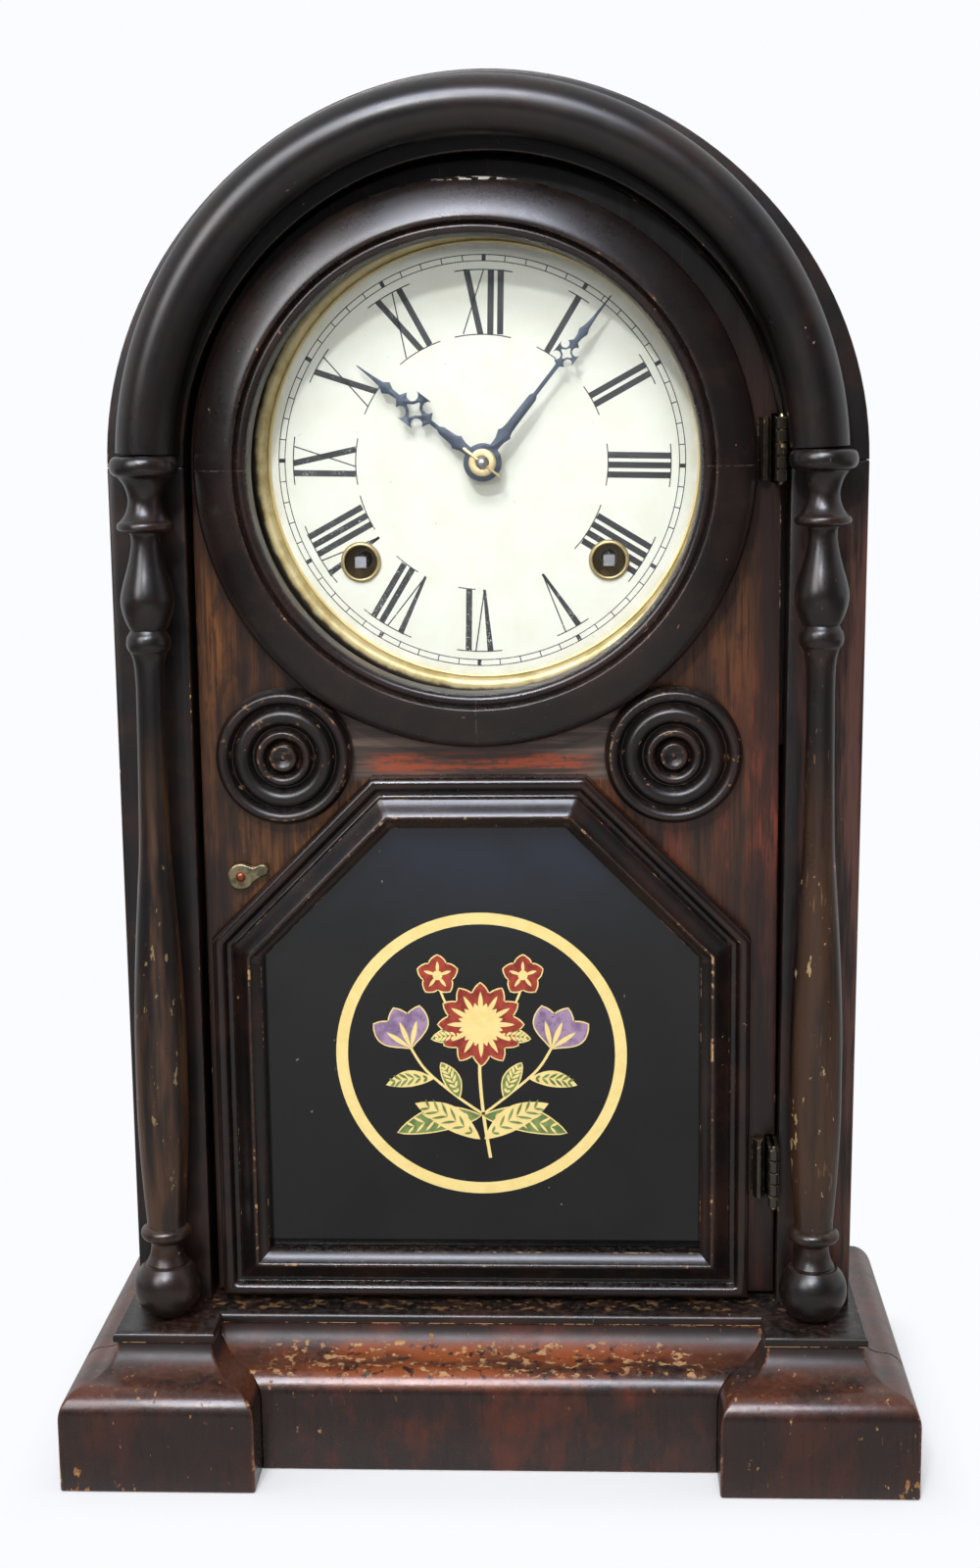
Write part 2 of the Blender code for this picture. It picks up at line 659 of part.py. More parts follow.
def comb(low, first):
    """Outline of a hinge leaf in depth and height, with a finger for every second knuckle."""
    pitch = HINGE_H / HINGE_KNUCKLES
    root, tip, tail = HINGE_DEPTH + BARREL_R + RUN, HINGE_DEPTH, HINGE_DEPTH + LEAF_LONG
    points = [(tail, low + HINGE_H - KNUCKLE_STEP), (tail, low + KNUCKLE_STEP)]
    for i in range(HINGE_KNUCKLES):
        reach = tip if i % 2 == first else root
        points.append((reach, low + i * pitch + KNUCKLE_STEP))
        points.append((reach, low + (i + 1) * pitch - KNUCKLE_STEP))
    return [(y_of(depth), z) for depth, z in points]


def hinge(name, low):
    """A butt hinge: knuckles taken in turn by the case leaf and the door leaf, on one pin."""
    pitch = HINGE_H / HINGE_KNUCKLES
    leaves = []
    for side, owner, first in ((1, "case", 0), (-1, "door", 1)):
        middle = HINGE_X + side * (BARREL_R - LEAF_SINK - LEAF_T / 2)
        spot = Vector((middle, 0, 0)) * MM
        leaf = flat(f"{name}_{owner}_leaf", [comb(low, first)], LEAF_T, IRON, spot, (UPRIGHT, 0, UPRIGHT))
        for i in range(first, HINGE_KNUCKLES, 2):
            foot, top = low + i * pitch + GAP / 2, low + (i + 1) * pitch - GAP / 2
            add(leaf, rod_up(f"{leaf.name}_knuckle_{i}", BARREL_R, foot, top))
        bore = rod_up(f"{leaf.name}_bore", HINGE_PIN_R + RUN, low - 1, low + HINGE_H + 1)
        leaves.append(cut(leaf, bore))
    rod_up(f"{name}_pin", HINGE_PIN_R, low - 0.8, low + HINGE_H + 0.8)
    return leaves[1]


def rod_up(name, radius, low, high):
    """An upright pin on the hinges' axis."""
    profile = [(0, high), (radius, high), (radius, low), (0, low)]
    return turned(name, profile, IRON, at(HINGE_X, HINGE_DEPTH, 0), SMALL_STEPS, facing="up")


def latch():
    """The pear-shaped knob with its shaft through the door, and the arm that the shaft turns behind it."""
    turn = 90 - LATCH_ANGLE
    round_r, lobe_r = 3.2, 2.5
    pear = arc(0, 0, round_r, 160, 380, 8) + smooth([(1.5, 4.4), (2.2, 6.2)], 1)
    pear += arc(0, LATCH_REACH - lobe_r, lobe_r, 0, 180, 6) + smooth([(-2.2, 6.2), (-1.5, 4.4)], 1)
    knob = panel("latch_knob", [pear], DOOR_FACE - 2.4, 1.6, BRASS, LATCH_X, LATCH_Z, turn)
    arm_front = FRAME_BACK + GAP
    head, tail = DOOR_FACE - 3.6, arm_front + 1.4
    stem = [(0, head), (1.6, head + 0.3), (2.1, head + 1.0), (2.1, head + 1.8), (LATCH_SHAFT_R, head + 1.8)]
    stem += [(LATCH_SHAFT_R, tail), (0, tail)]
    add(knob, shaft("latch_stem", stem, BRASS, LATCH_X, LATCH_Z, SMALL_STEPS))
    bow = arc(0, 0, 3.6, 150, 390, 8)
    blade = bow + arc(0, LATCH_ARM_REACH - 2.0, 2.0, 0, 180, 6)
    eye = circle(0, 0, LATCH_SHAFT_R + GAP, SMALL_STEPS)
    arm = panel("latch_arm", [blade, eye], arm_front, 1.2, BRASS, LATCH_X, LATCH_Z, turn)
    return [knob, arm]


def dial():
    half = OPENING_R + DIAL_LAP
    centre_hole = circle(0, 0, PIPE_R + RUN + 0.8, TURNED_STEPS)
    tube = GROMMET_BORE + 0.6
    holes = [circle(side * WINDING_X, -WINDING_DROP, tube + GAP, TURNED_STEPS) for side in (-1, 1)]
    outlines = [arched(half, -DIAL_TAIL, ARCH_STEPS), centre_hole, *holes]
    panel("dial_plate", outlines, DIAL_FACE, DIAL_T, ENAMEL, z=ARCH_Z)
    outer = DIAL_RIM_R + DIAL_RIM_W
    rim = [(DIAL_RIM_R + 2.4, DIAL_RIM_H + GAP), (outer - 0.6, DIAL_RIM_H + GAP - 0.4), (outer, GAP)]
    rim += [(DIAL_RIM_R + 0.4, GAP), (DIAL_RIM_R, GAP + 0.6)]
    turned("dial_rim", rim, BRASS, at(0, DIAL_FACE, ARCH_Z), RING_STEPS, ring=True)
    for side, name in ((-1, "left"), (1, "right")):
        tail = -DIAL_T - 0.8
        ring = [(GROMMET_BORE + 0.7, 1.3), (GROMMET_R, 0.8), (GROMMET_R, GAP), (tube, GAP), (tube, tail)]
        ring += [(GROMMET_BORE, tail), (GROMMET_BORE, 0.8)]
        hole = at(side * WINDING_X, DIAL_FACE, WINDING_Z)
        turned(f"grommet_{name}", ring, BRASS, hole, TURNED_STEPS, ring=True)
        inner = HOOD_R - HOOD_WALL - GAP
        cleat = sorted((side * inner, side * (inner - CLEAT_W)))
        front = DIAL_BACK + GAP
        block(f"dial_cleat_{name}", *cleat, front, front + CLEAT_D, ARCH_Z - CLEAT_H, ARCH_Z, PINE)


def gear(teeth, pitch_r, phase=0.0):
    """Outline of a wheel with low pointed teeth. A tooth points along +X at phase 0."""
    module = 2 * pitch_r / teeth
    tip, root = pitch_r + 0.7 * module, pitch_r - 1.1 * module
    step = 360 / teeth
    points = []
    for i in range(teeth):
        for share, r in ((-0.3, root), (0.0, tip), (0.3, root)):
            angle = math.radians(phase + (i + share) * step)
            points.append((r * math.cos(angle), r * math.sin(angle)))
    return points


def cross_half(centre, reach, notch_at, notch_r):
    """Right half of a cross with flared arms, from its lower arm to its upper: round bites out of a disc."""
    bite = math.degrees(math.acos((reach**2 + notch_at**2 - notch_r**2) / (2 * reach * notch_at)))
    points = []
    for corner in (-45, 45):
        nx, nz = notch_at * math.cos(math.radians(corner)), notch_at * math.sin(math.radians(corner))
        ends = []
        for angle in (corner - bite, corner + bite):
            px, pz = reach * math.cos(math.radians(angle)), reach * math.sin(math.radians(angle))
            ends.append(math.degrees(math.atan2(pz - nz, px - nx)))
        start, end = ends
        while end > start:
            end -= 360
        points += arc(nx, nz, notch_r, start, end, 4)
    return [(x, centre + z) for x, z in points]


def cross_hole(centre, corner, side):
    """A four-cornered hole with hollow sides."""
    points = []
    for quarter in range(4):
        for turn, r in ((0, corner), (28, side * 1.1), (62, side * 1.1)):
            angle = math.radians(90 * quarter + turn)
            points.append((r * math.cos(angle), centre + r * math.sin(angle)))
    return points


def hand(name, fore, turn, bore, hub_r, lobe, step, cross, barb, length):
    """A pierced hand. lobe, step, barb: (height, half-width). cross: (height, reach, bite at, bite)."""
    neck = 0.62
    right = arc(0, 0, hub_r, -90, 74, 7)
    right += [(1.5, lobe[0] - 2.4), (lobe[1], lobe[0]), (1.5, lobe[0] + 2.6)]
    right += [(step[1] + 0.25, step[0] - 0.6), (step[1], step[0]), (neck, step[0] + 0.6)]
    right += [(neck, cross[0] - cross[1] - 0.4)]
    right += cross_half(*cross)
    right += [(neck + 0.2, cross[0] + cross[1] + 0.6), (neck + 0.3, barb[0] - 1.8), (barb[1], barb[0])]
    right += [(0.9, barb[0] + 1.6), (0.5, barb[0] + 5.0), (0.16, length)]
    piercing = cross_hole(cross[0], 0.43 * cross[1], 0.24 * cross[1])
    outlines = [mirrored(right), circle(0, 0, bore, TURNED_STEPS), piercing]
    return panel(name, outlines, DIAL_FACE - fore, HAND_T, BLUED, 0, ARCH_Z, turn)


def hands_and_motion_work():
    minute_fore, hour_fore = MINUTE_HAND_FORE, HOUR_HAND_FORE
    minute_hand = hand(
        "minute_hand", minute_fore, MINUTE_ANGLE, ARBOR_R + GAP, 5.6,
        (10.6, 2.3), (24.5, 1.0), (40.0, 3.9, 2.95, 1.3), (48.0, 1.5), 61.0,
    )
    hour_hand = hand(
        "hour_hand", hour_fore, HOUR_ANGLE, PIPE_R + GAP, 5.6,
        (9.8, 2.3), (15.8, 1.0), (25.4, 5.5, 4.3, 1.8), (36.0, 2.0), 46.7,
    )
    washer_front = DIAL_FACE - minute_fore - GAP - 0.6
    washer = [(ARBOR_R + GAP, 0.6), (WASHER_R - 0.5, 0.6), (WASHER_R, 0), (ARBOR_R + GAP, 0)]
    washer_place = at(0, washer_front + 0.6, ARCH_Z)
    hand_washer = turned("hand_washer", washer, BRASS, washer_place, TURNED_STEPS, ring=True)
    pin_depth = washer_front - GAP - PIN_R
    arbor_front = pin_depth - PIN_R - 1.0
    back_end = BACK_PLATE + PLATE_T
    arbor = [(0, arbor_front), (1.2, arbor_front + 0.2), (ARBOR_R, arbor_front + 0.8)]
    arbor += [(ARBOR_R, FRONT_PLATE + PLATE_T + 2), (2.6, FRONT_PLATE + PLATE_T + 2), (2.6, BACK_PLATE - 2)]
    arbor += [(PIVOT_R, BACK_PLATE - 2), (PIVOT_R, back_end), (0, back_end)]
    centre_arbor = shaft("centre_arbor", arbor, STEEL, 0, ARCH_Z, SMALL_STEPS)
    phase = MOTION_ANGLE
    cannon_r = MOTION_CENTRES * CANNON_TEETH / (CANNON_TEETH + MINUTE_WHEEL_TEETH)
    leaves = gear(CANNON_TEETH, cannon_r, phase)
    cannon = panel("cannon_pinion", [leaves], MINUTE_WHEEL_FRONT, 2.0, STEEL, z=ARCH_Z)
    centre_wheel = panel("centre_wheel", [circle(0, 0, 17.0, 20)], FRONT_PLATE + 9, WHEEL_T, BRASS, z=ARCH_Z)
    add(centre_arbor, cannon, centre_wheel)
    pin_tool = taper_pin("pin_hole", pin_depth, 2 * PIN_R + GAP)
    cut(centre_arbor, pin_tool)
    pin = taper_pin("taper_pin", pin_depth, PIN_R)
    hour_r = MOTION_CENTRES * HOUR_WHEEL_TEETH / (HOUR_WHEEL_TEETH + MINUTE_PINION_TEETH)
    pinion_r = MOTION_CENTRES - hour_r
    pipe_front, pipe_back = DIAL_FACE - hour_fore - 0.6, MINUTE_WHEEL_FRONT - 0.6
    bore = ARBOR_R + RUN
    near, far = -y_of(pipe_front), -y_of(pipe_back)
    pipe = [(bore, near), (PIPE_R, near), (PIPE_R, far), (bore, far)]
    hour_wheel = turned("hour_wheel", pipe, BRASS, Vector((0, 0, ARCH_Z)) * MM, TURNED_STEPS, ring=True)
    rim = [gear(HOUR_WHEEL_TEETH, hour_r, phase), circle(0, 0, PIPE_R - 0.5, TURNED_STEPS)]
    add(hour_wheel, panel("hour_wheel_rim", rim, HOUR_WHEEL_FRONT, WHEEL_T, BRASS, z=ARCH_Z))
    minute_r = MOTION_CENTRES - cannon_r
    eye = circle(0, 0, STUD_R + RUN, SMALL_STEPS)
    wheel_phase = phase + 180 + 180 / MINUTE_WHEEL_TEETH
    outline = [gear(MINUTE_WHEEL_TEETH, minute_r, wheel_phase), eye]
    minute_wheel = panel("minute_wheel", outline, MINUTE_WHEEL_FRONT, WHEEL_T, BRASS, STUD_X, STUD_Z)
    pinion_phase = phase + 180 + 180 / MINUTE_PINION_TEETH
    pinion_deep = MINUTE_WHEEL_FRONT - HOUR_WHEEL_FRONT + 0.5
    pinion = [gear(MINUTE_PINION_TEETH, pinion_r, pinion_phase), eye]
    add(minute_wheel, panel("minute_pinion", pinion, HOUR_WHEEL_FRONT, pinion_deep, STEEL, STUD_X, STUD_Z))
    pivot("minute_axis", 0, DIAL_FACE, ARCH_Z, minute_hand, hand_washer, centre_arbor, pin)
    pivot("hour_axis", 0, DIAL_FACE, ARCH_Z, hour_hand, hour_wheel)
    pivot("minute_wheel_axis", STUD_X, DIAL_BACK, STUD_Z, minute_wheel)


def taper_pin(name, depth, radius):
    """A slim pin that crosses the centre arbor in front of the washer."""
    half = PIN_LENGTH / 2
    profile = [(0, half), (radius, half), (0.7 * radius, -half), (0, -half)]
    made = turned(name, profile, BRASS, at(0, depth, ARCH_Z), SMALL_STEPS, facing="up")
    made.rotation_euler = (0, math.radians(PIN_ANGLE - 90), 0)
    return made


def winding_arbor(name, side):
    """A winding arbor with a square end in the dial's hole and a toothed great wheel near the back plate."""
    x = side * WINDING_X
    front, back_end = DIAL_FACE - 1.5, BACK_PLATE + PLATE_T
    steps = [(0, front + 6), (1.9, front + 6), (2.4, FRONT_PLATE - 1.5), (2.4, FRONT_PLATE + 4)]
    steps += [(WINDING_ARBOR_R, FRONT_PLATE + 4), (WINDING_ARBOR_R, BACK_PLATE - 2.5)]
    steps += [(BACK_PIVOT_R, BACK_PLATE - 2.5), (BACK_PIVOT_R, back_end), (0, back_end)]
    arbor = shaft(name, steps, STEEL, x, WINDING_Z, SMALL_STEPS)
    end = 1.7
    square = [(-end, -end), (end, -end), (end, end), (-end, end)]
    add(arbor, panel(name + "_square", [square], front, 9.0, STEEL, x, WINDING_Z))
    teeth = gear(GREAT_WHEEL_TEETH, GREAT_WHEEL_R)
    add(arbor, panel(name + "_wheel", [teeth], BACK_PLATE - 8, 2.2, BRASS, x, WINDING_Z))
    return arbor


def mainspring(name, side):
    """An open spiral of flat strip round its winding arbor."""
    start = WINDING_ARBOR_R + RUN + SPRING_STRIP / 2
    per_turn = 12
    outer, inner = [], []
    for i in range(SPRING_TURNS * per_turn + 1):
        angle = 2 * math.pi * i / per_turn
        r = start + SPRING_PITCH * i / per_turn
        c, s = math.cos(angle) * side, math.sin(angle)
        outer.append(((r + SPRING_STRIP / 2) * c, (r + SPRING_STRIP / 2) * s))
        inner.append(((r - SPRING_STRIP / 2) * c, (r - SPRING_STRIP / 2) * s))
    front = FRONT_PLATE + PLATE_T + 5
    panel(name, [outer + inner[::-1]], front, SPRING_WIDTH, STEEL, side * WINDING_X, WINDING_Z)


def plate_outline():
    return [
        (-PLATE_HALF_W, -PLATE_BELOW), (PLATE_HALF_W, -PLATE_BELOW),
        (PLATE_HALF_W, PLATE_ABOVE - 12), (PLATE_HALF_W - 12, PLATE_ABOVE),
        (12 - PLATE_HALF_W, PLATE_ABOVE), (-PLATE_HALF_W, PLATE_ABOVE - 12),
    ]


def movement():
    """Two plates held apart by pillars, with a hole for every pivot."""
    pivots = [(0, 0, ARBOR_R), (0, -ESCAPE_DROP, PIVOT_R), (HAMMER_X, -HAMMER_DROP, PIVOT_R)]
    for side in (-1, 1):
        pivots.append((side * WINDING_X, -WINDING_DROP, 2.4))
    front_holes = [circle(x, z, r + RUN, TURNED_STEPS) for x, z, r in pivots]
    front = panel("front_plate", [plate_outline(), *front_holes], FRONT_PLATE, PLATE_T, BRASS, z=ARCH_Z)
    root = FRONT_PLATE + 1
    add(front, rod("minute_stud", STUD_R, HOUR_WHEEL_FRONT - 0.4, root, STEEL, STUD_X, STUD_Z, SMALL_STEPS))
    add(front, rod("verge_stud", STUD_R, FRONT_PLATE - 4.7, root, STEEL, 0, VERGE_Z, SMALL_STEPS))
    back_pivots = [(x, z, BACK_PIVOT_R if abs(x) == WINDING_X else PIVOT_R) for x, z, r in pivots]
    back_holes = [circle(x, z, r + RUN, TURNED_STEPS) for x, z, r in back_pivots]
    back = panel("back_plate", [plate_outline(), *back_holes], BACK_PLATE, PLATE_T, BRASS, z=ARCH_Z)
    for side in (-1, 1):
        for row, z in (("low", PILLAR_INSET - PLATE_BELOW), ("high", PLATE_ABOVE - PILLAR_INSET - 4)):
            x = side * (PLATE_HALF_W - PILLAR_INSET - (4 if row == "high" else 0))
            reach = (FRONT_PLATE + PLATE_T + GAP, BACK_BOARD - GAP)
            add(back, rod(f"pillar_{row}_{side}", PILLAR_R, *reach, BRASS, x, ARCH_Z + z, SMALL_STEPS))
    for side, name in ((-1, "strike"), (1, "time")):
        arbor = winding_arbor(f"{name}_arbor", side)
        mainspring(f"{name}_mainspring", side)
        pivot(f"{name}_axis", side * WINDING_X, DIAL_FACE, WINDING_Z, arbor)


def escapement():
    """The escape wheel and the verge over it, with the crutch that the pendulum moves."""
    front = FRONT_PLATE - 2.6
    teeth = []
    for i in range(ESCAPE_TEETH):
        for share, r in ((0.0, ESCAPE_R), (0.28, ESCAPE_R - 2.4)):
            angle = 2 * math.pi * (i + share) / ESCAPE_TEETH
            teeth.append((r * math.cos(angle), r * math.sin(angle)))
    end = BACK_PLATE + PLATE_T
    escape = rod("escape_wheel", PIVOT_R, front - 0.8, end, STEEL, 0, ESCAPE_Z, SMALL_STEPS)
    add(escape, panel("escape_teeth", [teeth], front, 1.0, BRASS, z=ESCAPE_Z))
    pivot("escape_axis", 0, FRONT_PLATE, ESCAPE_Z, escape)
    hub = circle(0, 0, 3.2, TURNED_STEPS)
    eye = circle(0, 0, STUD_R + RUN, SMALL_STEPS)
    drop = ESCAPE_Z - VERGE_Z
    reach = ESCAPE_R + 1.6
    bow = arc(0, drop, reach + 1.8, 38, 142, 8) + arc(0, drop, reach, 142, 38, 8)
    collar = panel("verge", [hub, eye], front - 2.4, 3.4, STEEL, z=VERGE_Z)
    stem = [(-1.2, drop + reach + 0.6), (1.2, drop + reach + 0.6), (1.2, -2.2), (-1.2, -2.2)]
    add(collar, panel("verge_bow", [bow], front, 1.0, STEEL, z=VERGE_Z))
    add(collar, panel("verge_stem", [stem], front + 0.1, 0.8, STEEL, z=VERGE_Z))
    low = -CRUTCH_LENGTH
    crutch = [(-0.9, low), (0.9, low), (0.9, -2.4), (-0.9, -2.4)]
    fork = [(-2.9, low), (2.9, low), (2.9, low + 1.6), (-2.9, low + 1.6)]
    crutch_front = front - 2.4
    add(collar, panel("crutch", [crutch], crutch_front, 0.9, STEEL, z=VERGE_Z))
    add(collar, panel("crutch_foot", [fork], crutch_front + 0.05, 0.8, STEEL, z=VERGE_Z))
    peg_r = 0.6
    peg_x, peg_z = ROD_R + 0.5 + peg_r, VERGE_Z + low + 0.8
    span = (ROD_DEPTH - ROD_R, crutch_front + 0.5)
    for side in (-1, 1):
        add(collar, rod(f"crutch_peg_{side}", peg_r, *span, STEEL, side * peg_x, peg_z, SMALL_STEPS))
    pivot("verge_axis", 0, FRONT_PLATE, VERGE_Z, collar)


def pendulum():
    """A wire rod on a suspension strip, a lens-shaped bob, and the cock that holds the strip."""
    strip_half, strip_top = 0.25, SUSPENSION_Z + 3.0
    bob_z = SUSPENSION_Z - PENDULUM_LENGTH
    rod_low, rod_high = bob_z - BOB_R - 6, SUSPENSION_Z - 8
    wire = [(0, rod_high), (ROD_R, rod_high), (ROD_R, rod_low), (0, rod_low)]
    rod_piece = turned("pendulum_rod", wire, STEEL, at(0, ROD_DEPTH, 0), SMALL_STEPS, facing="up")
    strip_front, strip_back = ROD_DEPTH - 1.0, ROD_DEPTH + 1.0
    strip = block(
        "suspension_strip", -strip_half, strip_half, strip_front, strip_back, rod_high - 3, strip_top, STEEL,
    )
    add(rod_piece, strip)
    half = BOB_T / 2
    dome = arc(0, 0, BOB_R, 90, 0, 5, half)
    lens = dome[:-1] + [(BOB_R, 0.4), (BOB_R, -0.4)] + arc(0, 0, BOB_R, 0, -90, 5, half)[1:]
    bob = turned("pendulum_bob", lens, BRASS, at(0, ROD_DEPTH, bob_z), 16)
    slot = block(
        "bob_slot", -ROD_R - GAP, ROD_R + GAP, ROD_DEPTH - ROD_R - GAP, ROD_DEPTH + ROD_R + GAP,
        bob_z - BOB_R - 1, bob_z + BOB_R + 1, BRASS,
    )
    cut(bob, slot)
    pivot("pendulum_axis", 0, ROD_DEPTH, SUSPENSION_Z, rod_piece, bob)
    cock_low, cock_high = SUSPENSION_Z + 0.6, SUSPENSION_Z + 5.5
    cock_front, cock_back = strip_front - 0.2, FRONT_PLATE - GAP
    cock = block("suspension_cock", -4, 4, cock_front, cock_back, cock_low, cock_high, BRASS)
    jaw_half = strip_half + GAP
    jaw = block(
        "cock_slit", -jaw_half, jaw_half, cock_front - 3, strip_back + GAP,
        cock_low - 2, strip_top + GAP, BRASS,
    )
    cut(cock, jaw)


def strike():
    """A flat coil of wire on a stand, and a hammer that hangs from an arbor between the plates."""
    gong = bpy.data.curves.new("gong", "CURVE")
    gong.dimensions = "3D"
    gong.bevel_depth = GONG_WIRE_R * MM
    gong.bevel_resolution = 1
    gong.use_fill_caps = True
    spline = gong.splines.new("POLY")
    per_turn = 12
    count = GONG_TURNS * per_turn + 1
    spline.points.add(count - 1)
    for i, point in enumerate(spline.points):
        angle = 2 * math.pi * i / per_turn
        r = GONG_IN_R + GONG_PITCH * i / per_turn
        point.co = (*(at(r * math.cos(angle), GONG_DEPTH, GONG_Z + r * math.sin(angle))), 1)
    as_mesh(placed("gong", gong, STEEL))
    print("gong: least gap between turns", GONG_PITCH - 2 * GONG_WIRE_R, "mm")
    seat = GONG_IN_R - GONG_WIRE_R - GAP
    stand_front, stand_back = GONG_DEPTH - 4, BACK_BOARD - GAP
    stand = [(0, stand_front), (seat - 2, stand_front), (seat - 2, stand_front + 1), (seat, stand_front + 2)]
    stand += [(seat, GONG_DEPTH + 2), (GONG_STAND_R, GONG_DEPTH + 4)]
    stand += [(GONG_STAND_R, stand_back), (0, stand_back)]
    shaft("gong_stand", stand, IRON, 0, GONG_Z, TURNED_STEPS)
    head_z = GONG_Z + GONG_OUT_R + HAMMER_HEAD_R + 2.0
    front, back = FRONT_PLATE - 0.5, BACK_PLATE + PLATE_T
    hammer = rod("hammer", PIVOT_R, front, back, STEEL, HAMMER_X, HAMMER_Z, SMALL_STEPS)
    wire = [(0, HAMMER_Z + 1), (1.0, HAMMER_Z + 1), (1.0, head_z), (0, head_z)]
    add(hammer, turned("hammer_wire", wire, STEEL, at(HAMMER_X, GONG_DEPTH, 0), SMALL_STEPS, facing="up"))
    face = [(0, head_z + 4), (HAMMER_HEAD_R, head_z + 4), (HAMMER_HEAD_R, head_z - 4), (0, head_z - 4)]
    add(hammer, turned("hammer_head", face, BRASS, at(HAMMER_X, GONG_DEPTH, 0), TURNED_STEPS, facing="up"))
    pivot("hammer_axis", HAMMER_X, GONG_DEPTH, HAMMER_Z, hammer)


def build():
    plinth()
    case()
    arch_moulding()
    columns()
    upper = hinge("hinge_upper", ARCH_Z - UPPER_HINGE_BELOW)
    lower = hinge("hinge_lower", PLINTH_TOP + LOWER_HINGE_ABOVE)
    knob, arm = latch()
    swing = pivot("door_axis", HINGE_X, HINGE_DEPTH, DOOR_FOOT, *door(), upper, lower)
    catch = pivot("latch_axis", LATCH_X, DOOR_FACE, LATCH_Z, knob, arm)
    catch.parent = swing
    catch.location -= swing.location
    dial()
    hands_and_motion_work()
    movement()
    escapement()
    pendulum()
    strike()
    bpy.context.view_layer.update()


build()
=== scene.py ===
# %% [markdown]
# # A round-top shelf clock
# This lesson dresses a finished CAD model as an old, worn shelf clock. The CAD pieces give the places and the
# motions, so the first step only loads them. Every size below is in millimetres, as on a cabinet maker's drawing,
# and MM turns it into Blender's metres.

# %% Load the frame
import math

import bmesh
import bpy
from mathutils import Matrix, Vector
from mathutils.geometry import tessellate_polygon


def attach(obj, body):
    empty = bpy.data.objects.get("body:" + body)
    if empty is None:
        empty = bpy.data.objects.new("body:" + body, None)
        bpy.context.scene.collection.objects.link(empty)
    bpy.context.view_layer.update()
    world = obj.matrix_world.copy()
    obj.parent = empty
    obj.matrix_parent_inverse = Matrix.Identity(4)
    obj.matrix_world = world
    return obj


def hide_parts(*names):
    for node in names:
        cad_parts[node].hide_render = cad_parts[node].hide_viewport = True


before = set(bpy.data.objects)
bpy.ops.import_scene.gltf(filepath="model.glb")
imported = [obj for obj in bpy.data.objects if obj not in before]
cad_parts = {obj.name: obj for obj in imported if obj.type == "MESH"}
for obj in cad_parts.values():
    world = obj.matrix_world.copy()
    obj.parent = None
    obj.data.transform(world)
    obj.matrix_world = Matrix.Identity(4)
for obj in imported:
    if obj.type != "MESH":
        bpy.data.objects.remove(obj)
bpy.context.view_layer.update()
MM = 0.001
BASE_D = 121.0  # depth of the plinth, front to back


def at(x, depth, z):
    """A point from its place across, its depth behind the front of the feet, and its height."""
    return Vector((x, depth - BASE_D / 2, z)) * MM


# %% [markdown]
# ## The camera
# The photograph was taken from a little above the dial and to the right of the middle, close enough that the base
# looks wider than the top. A camera could be placed by eye, but these numbers come from solving the view from
# points of known size on the clock, so the picture and the model line up.

# %% Camera
CAMERA_AT = Vector((0.0320, -0.6719, 0.3197))
YAW, PITCH, ROLL = math.radians(-2.667), math.radians(9.862), math.radians(-0.693)
forward = Vector((math.sin(YAW) * math.cos(PITCH), math.cos(YAW) * math.cos(PITCH), -math.sin(PITCH)))
level = Vector((math.cos(YAW), -math.sin(YAW), 0.0))
above = level.cross(forward)
right = level * math.cos(ROLL) + above * math.sin(ROLL)
up = above * math.cos(ROLL) - level * math.sin(ROLL)
turn = Matrix((right, up, -forward)).transposed().to_4x4()

camera_data = bpy.data.cameras.new("camera")
camera_data.lens = 51.19
camera_data.sensor_width = 36.0
camera = bpy.data.objects.new("camera", camera_data)
camera.matrix_world = Matrix.Translation(CAMERA_AT) @ turn
bpy.context.scene.collection.objects.link(camera)
bpy.context.scene.camera = camera
print("camera at", [round(v, 3) for v in CAMERA_AT], "lens", camera_data.lens)

# %% [markdown]
# ## Node shorthand
# A material is a graph of nodes, and writing each link out hides the idea behind it. These helpers add one node
# with its settings, link what comes from other nodes, and return the output. A Measure is an output that can be
# added, multiplied and compared like a plain number. Each such sum adds a Math node, so that a finish reads like a
# recipe.


# %% Node helpers
def colour(red, green, blue):
    return (red, green, blue, 1.0)


def colour_of(code):
    """A colour as written on a paint card, such as #5b321d, in the linear numbers that Blender works with."""
    parts = [int(code[i:i + 2], 16) / 255 for i in (1, 3, 5)]
    return colour(*[p / 12.92 if p <= 0.04045 else ((p + 0.055) / 1.055) ** 2.4 for p in parts])


def fill(socket, value):
    """Links a value that comes from a node, and sets any other value on the socket itself."""
    value = getattr(value, "socket", value)
    if isinstance(value, bpy.types.NodeSocket):
        socket.id_data.links.new(value, socket)
    else:
        socket.default_value = colour_of(value) if isinstance(value, str) else value


def node(tree, kind, inputs=None, **settings):
    made = tree.nodes.new("ShaderNode" + kind)
    for name, value in settings.items():
        setattr(made, name, value)
    for name, value in (inputs or {}).items():
        fill(made.inputs[name], value)
    return made


class Measure:
    """A number that differs from point to point, such as a height. Each sum with it adds a Math node."""

    def __init__(self, socket):
        self.socket, self.id_data = socket, socket.id_data

    def math(self, operation, first, second=0.0, **settings):
        made = node(self.id_data, "Math", {0: first, 1: second}, operation=operation, **settings)
        return Measure(made.outputs[0])

    def __add__(self, other):
        return self.math("ADD", self, other)

    def __radd__(self, other):
        return self.math("ADD", other, self)

    def __sub__(self, other):
        return self.math("SUBTRACT", self, other)

    def __rsub__(self, other):
        return self.math("SUBTRACT", other, self)

    def __mul__(self, other):
        return self.math("MULTIPLY", self, other)

    def __lt__(self, other):
        return self.math("LESS_THAN", self, other)

    def __gt__(self, other):
        return self.math("GREATER_THAN", self, other)

    def __abs__(self):
        return self.math("ABSOLUTE", self)


print("node helpers ready")

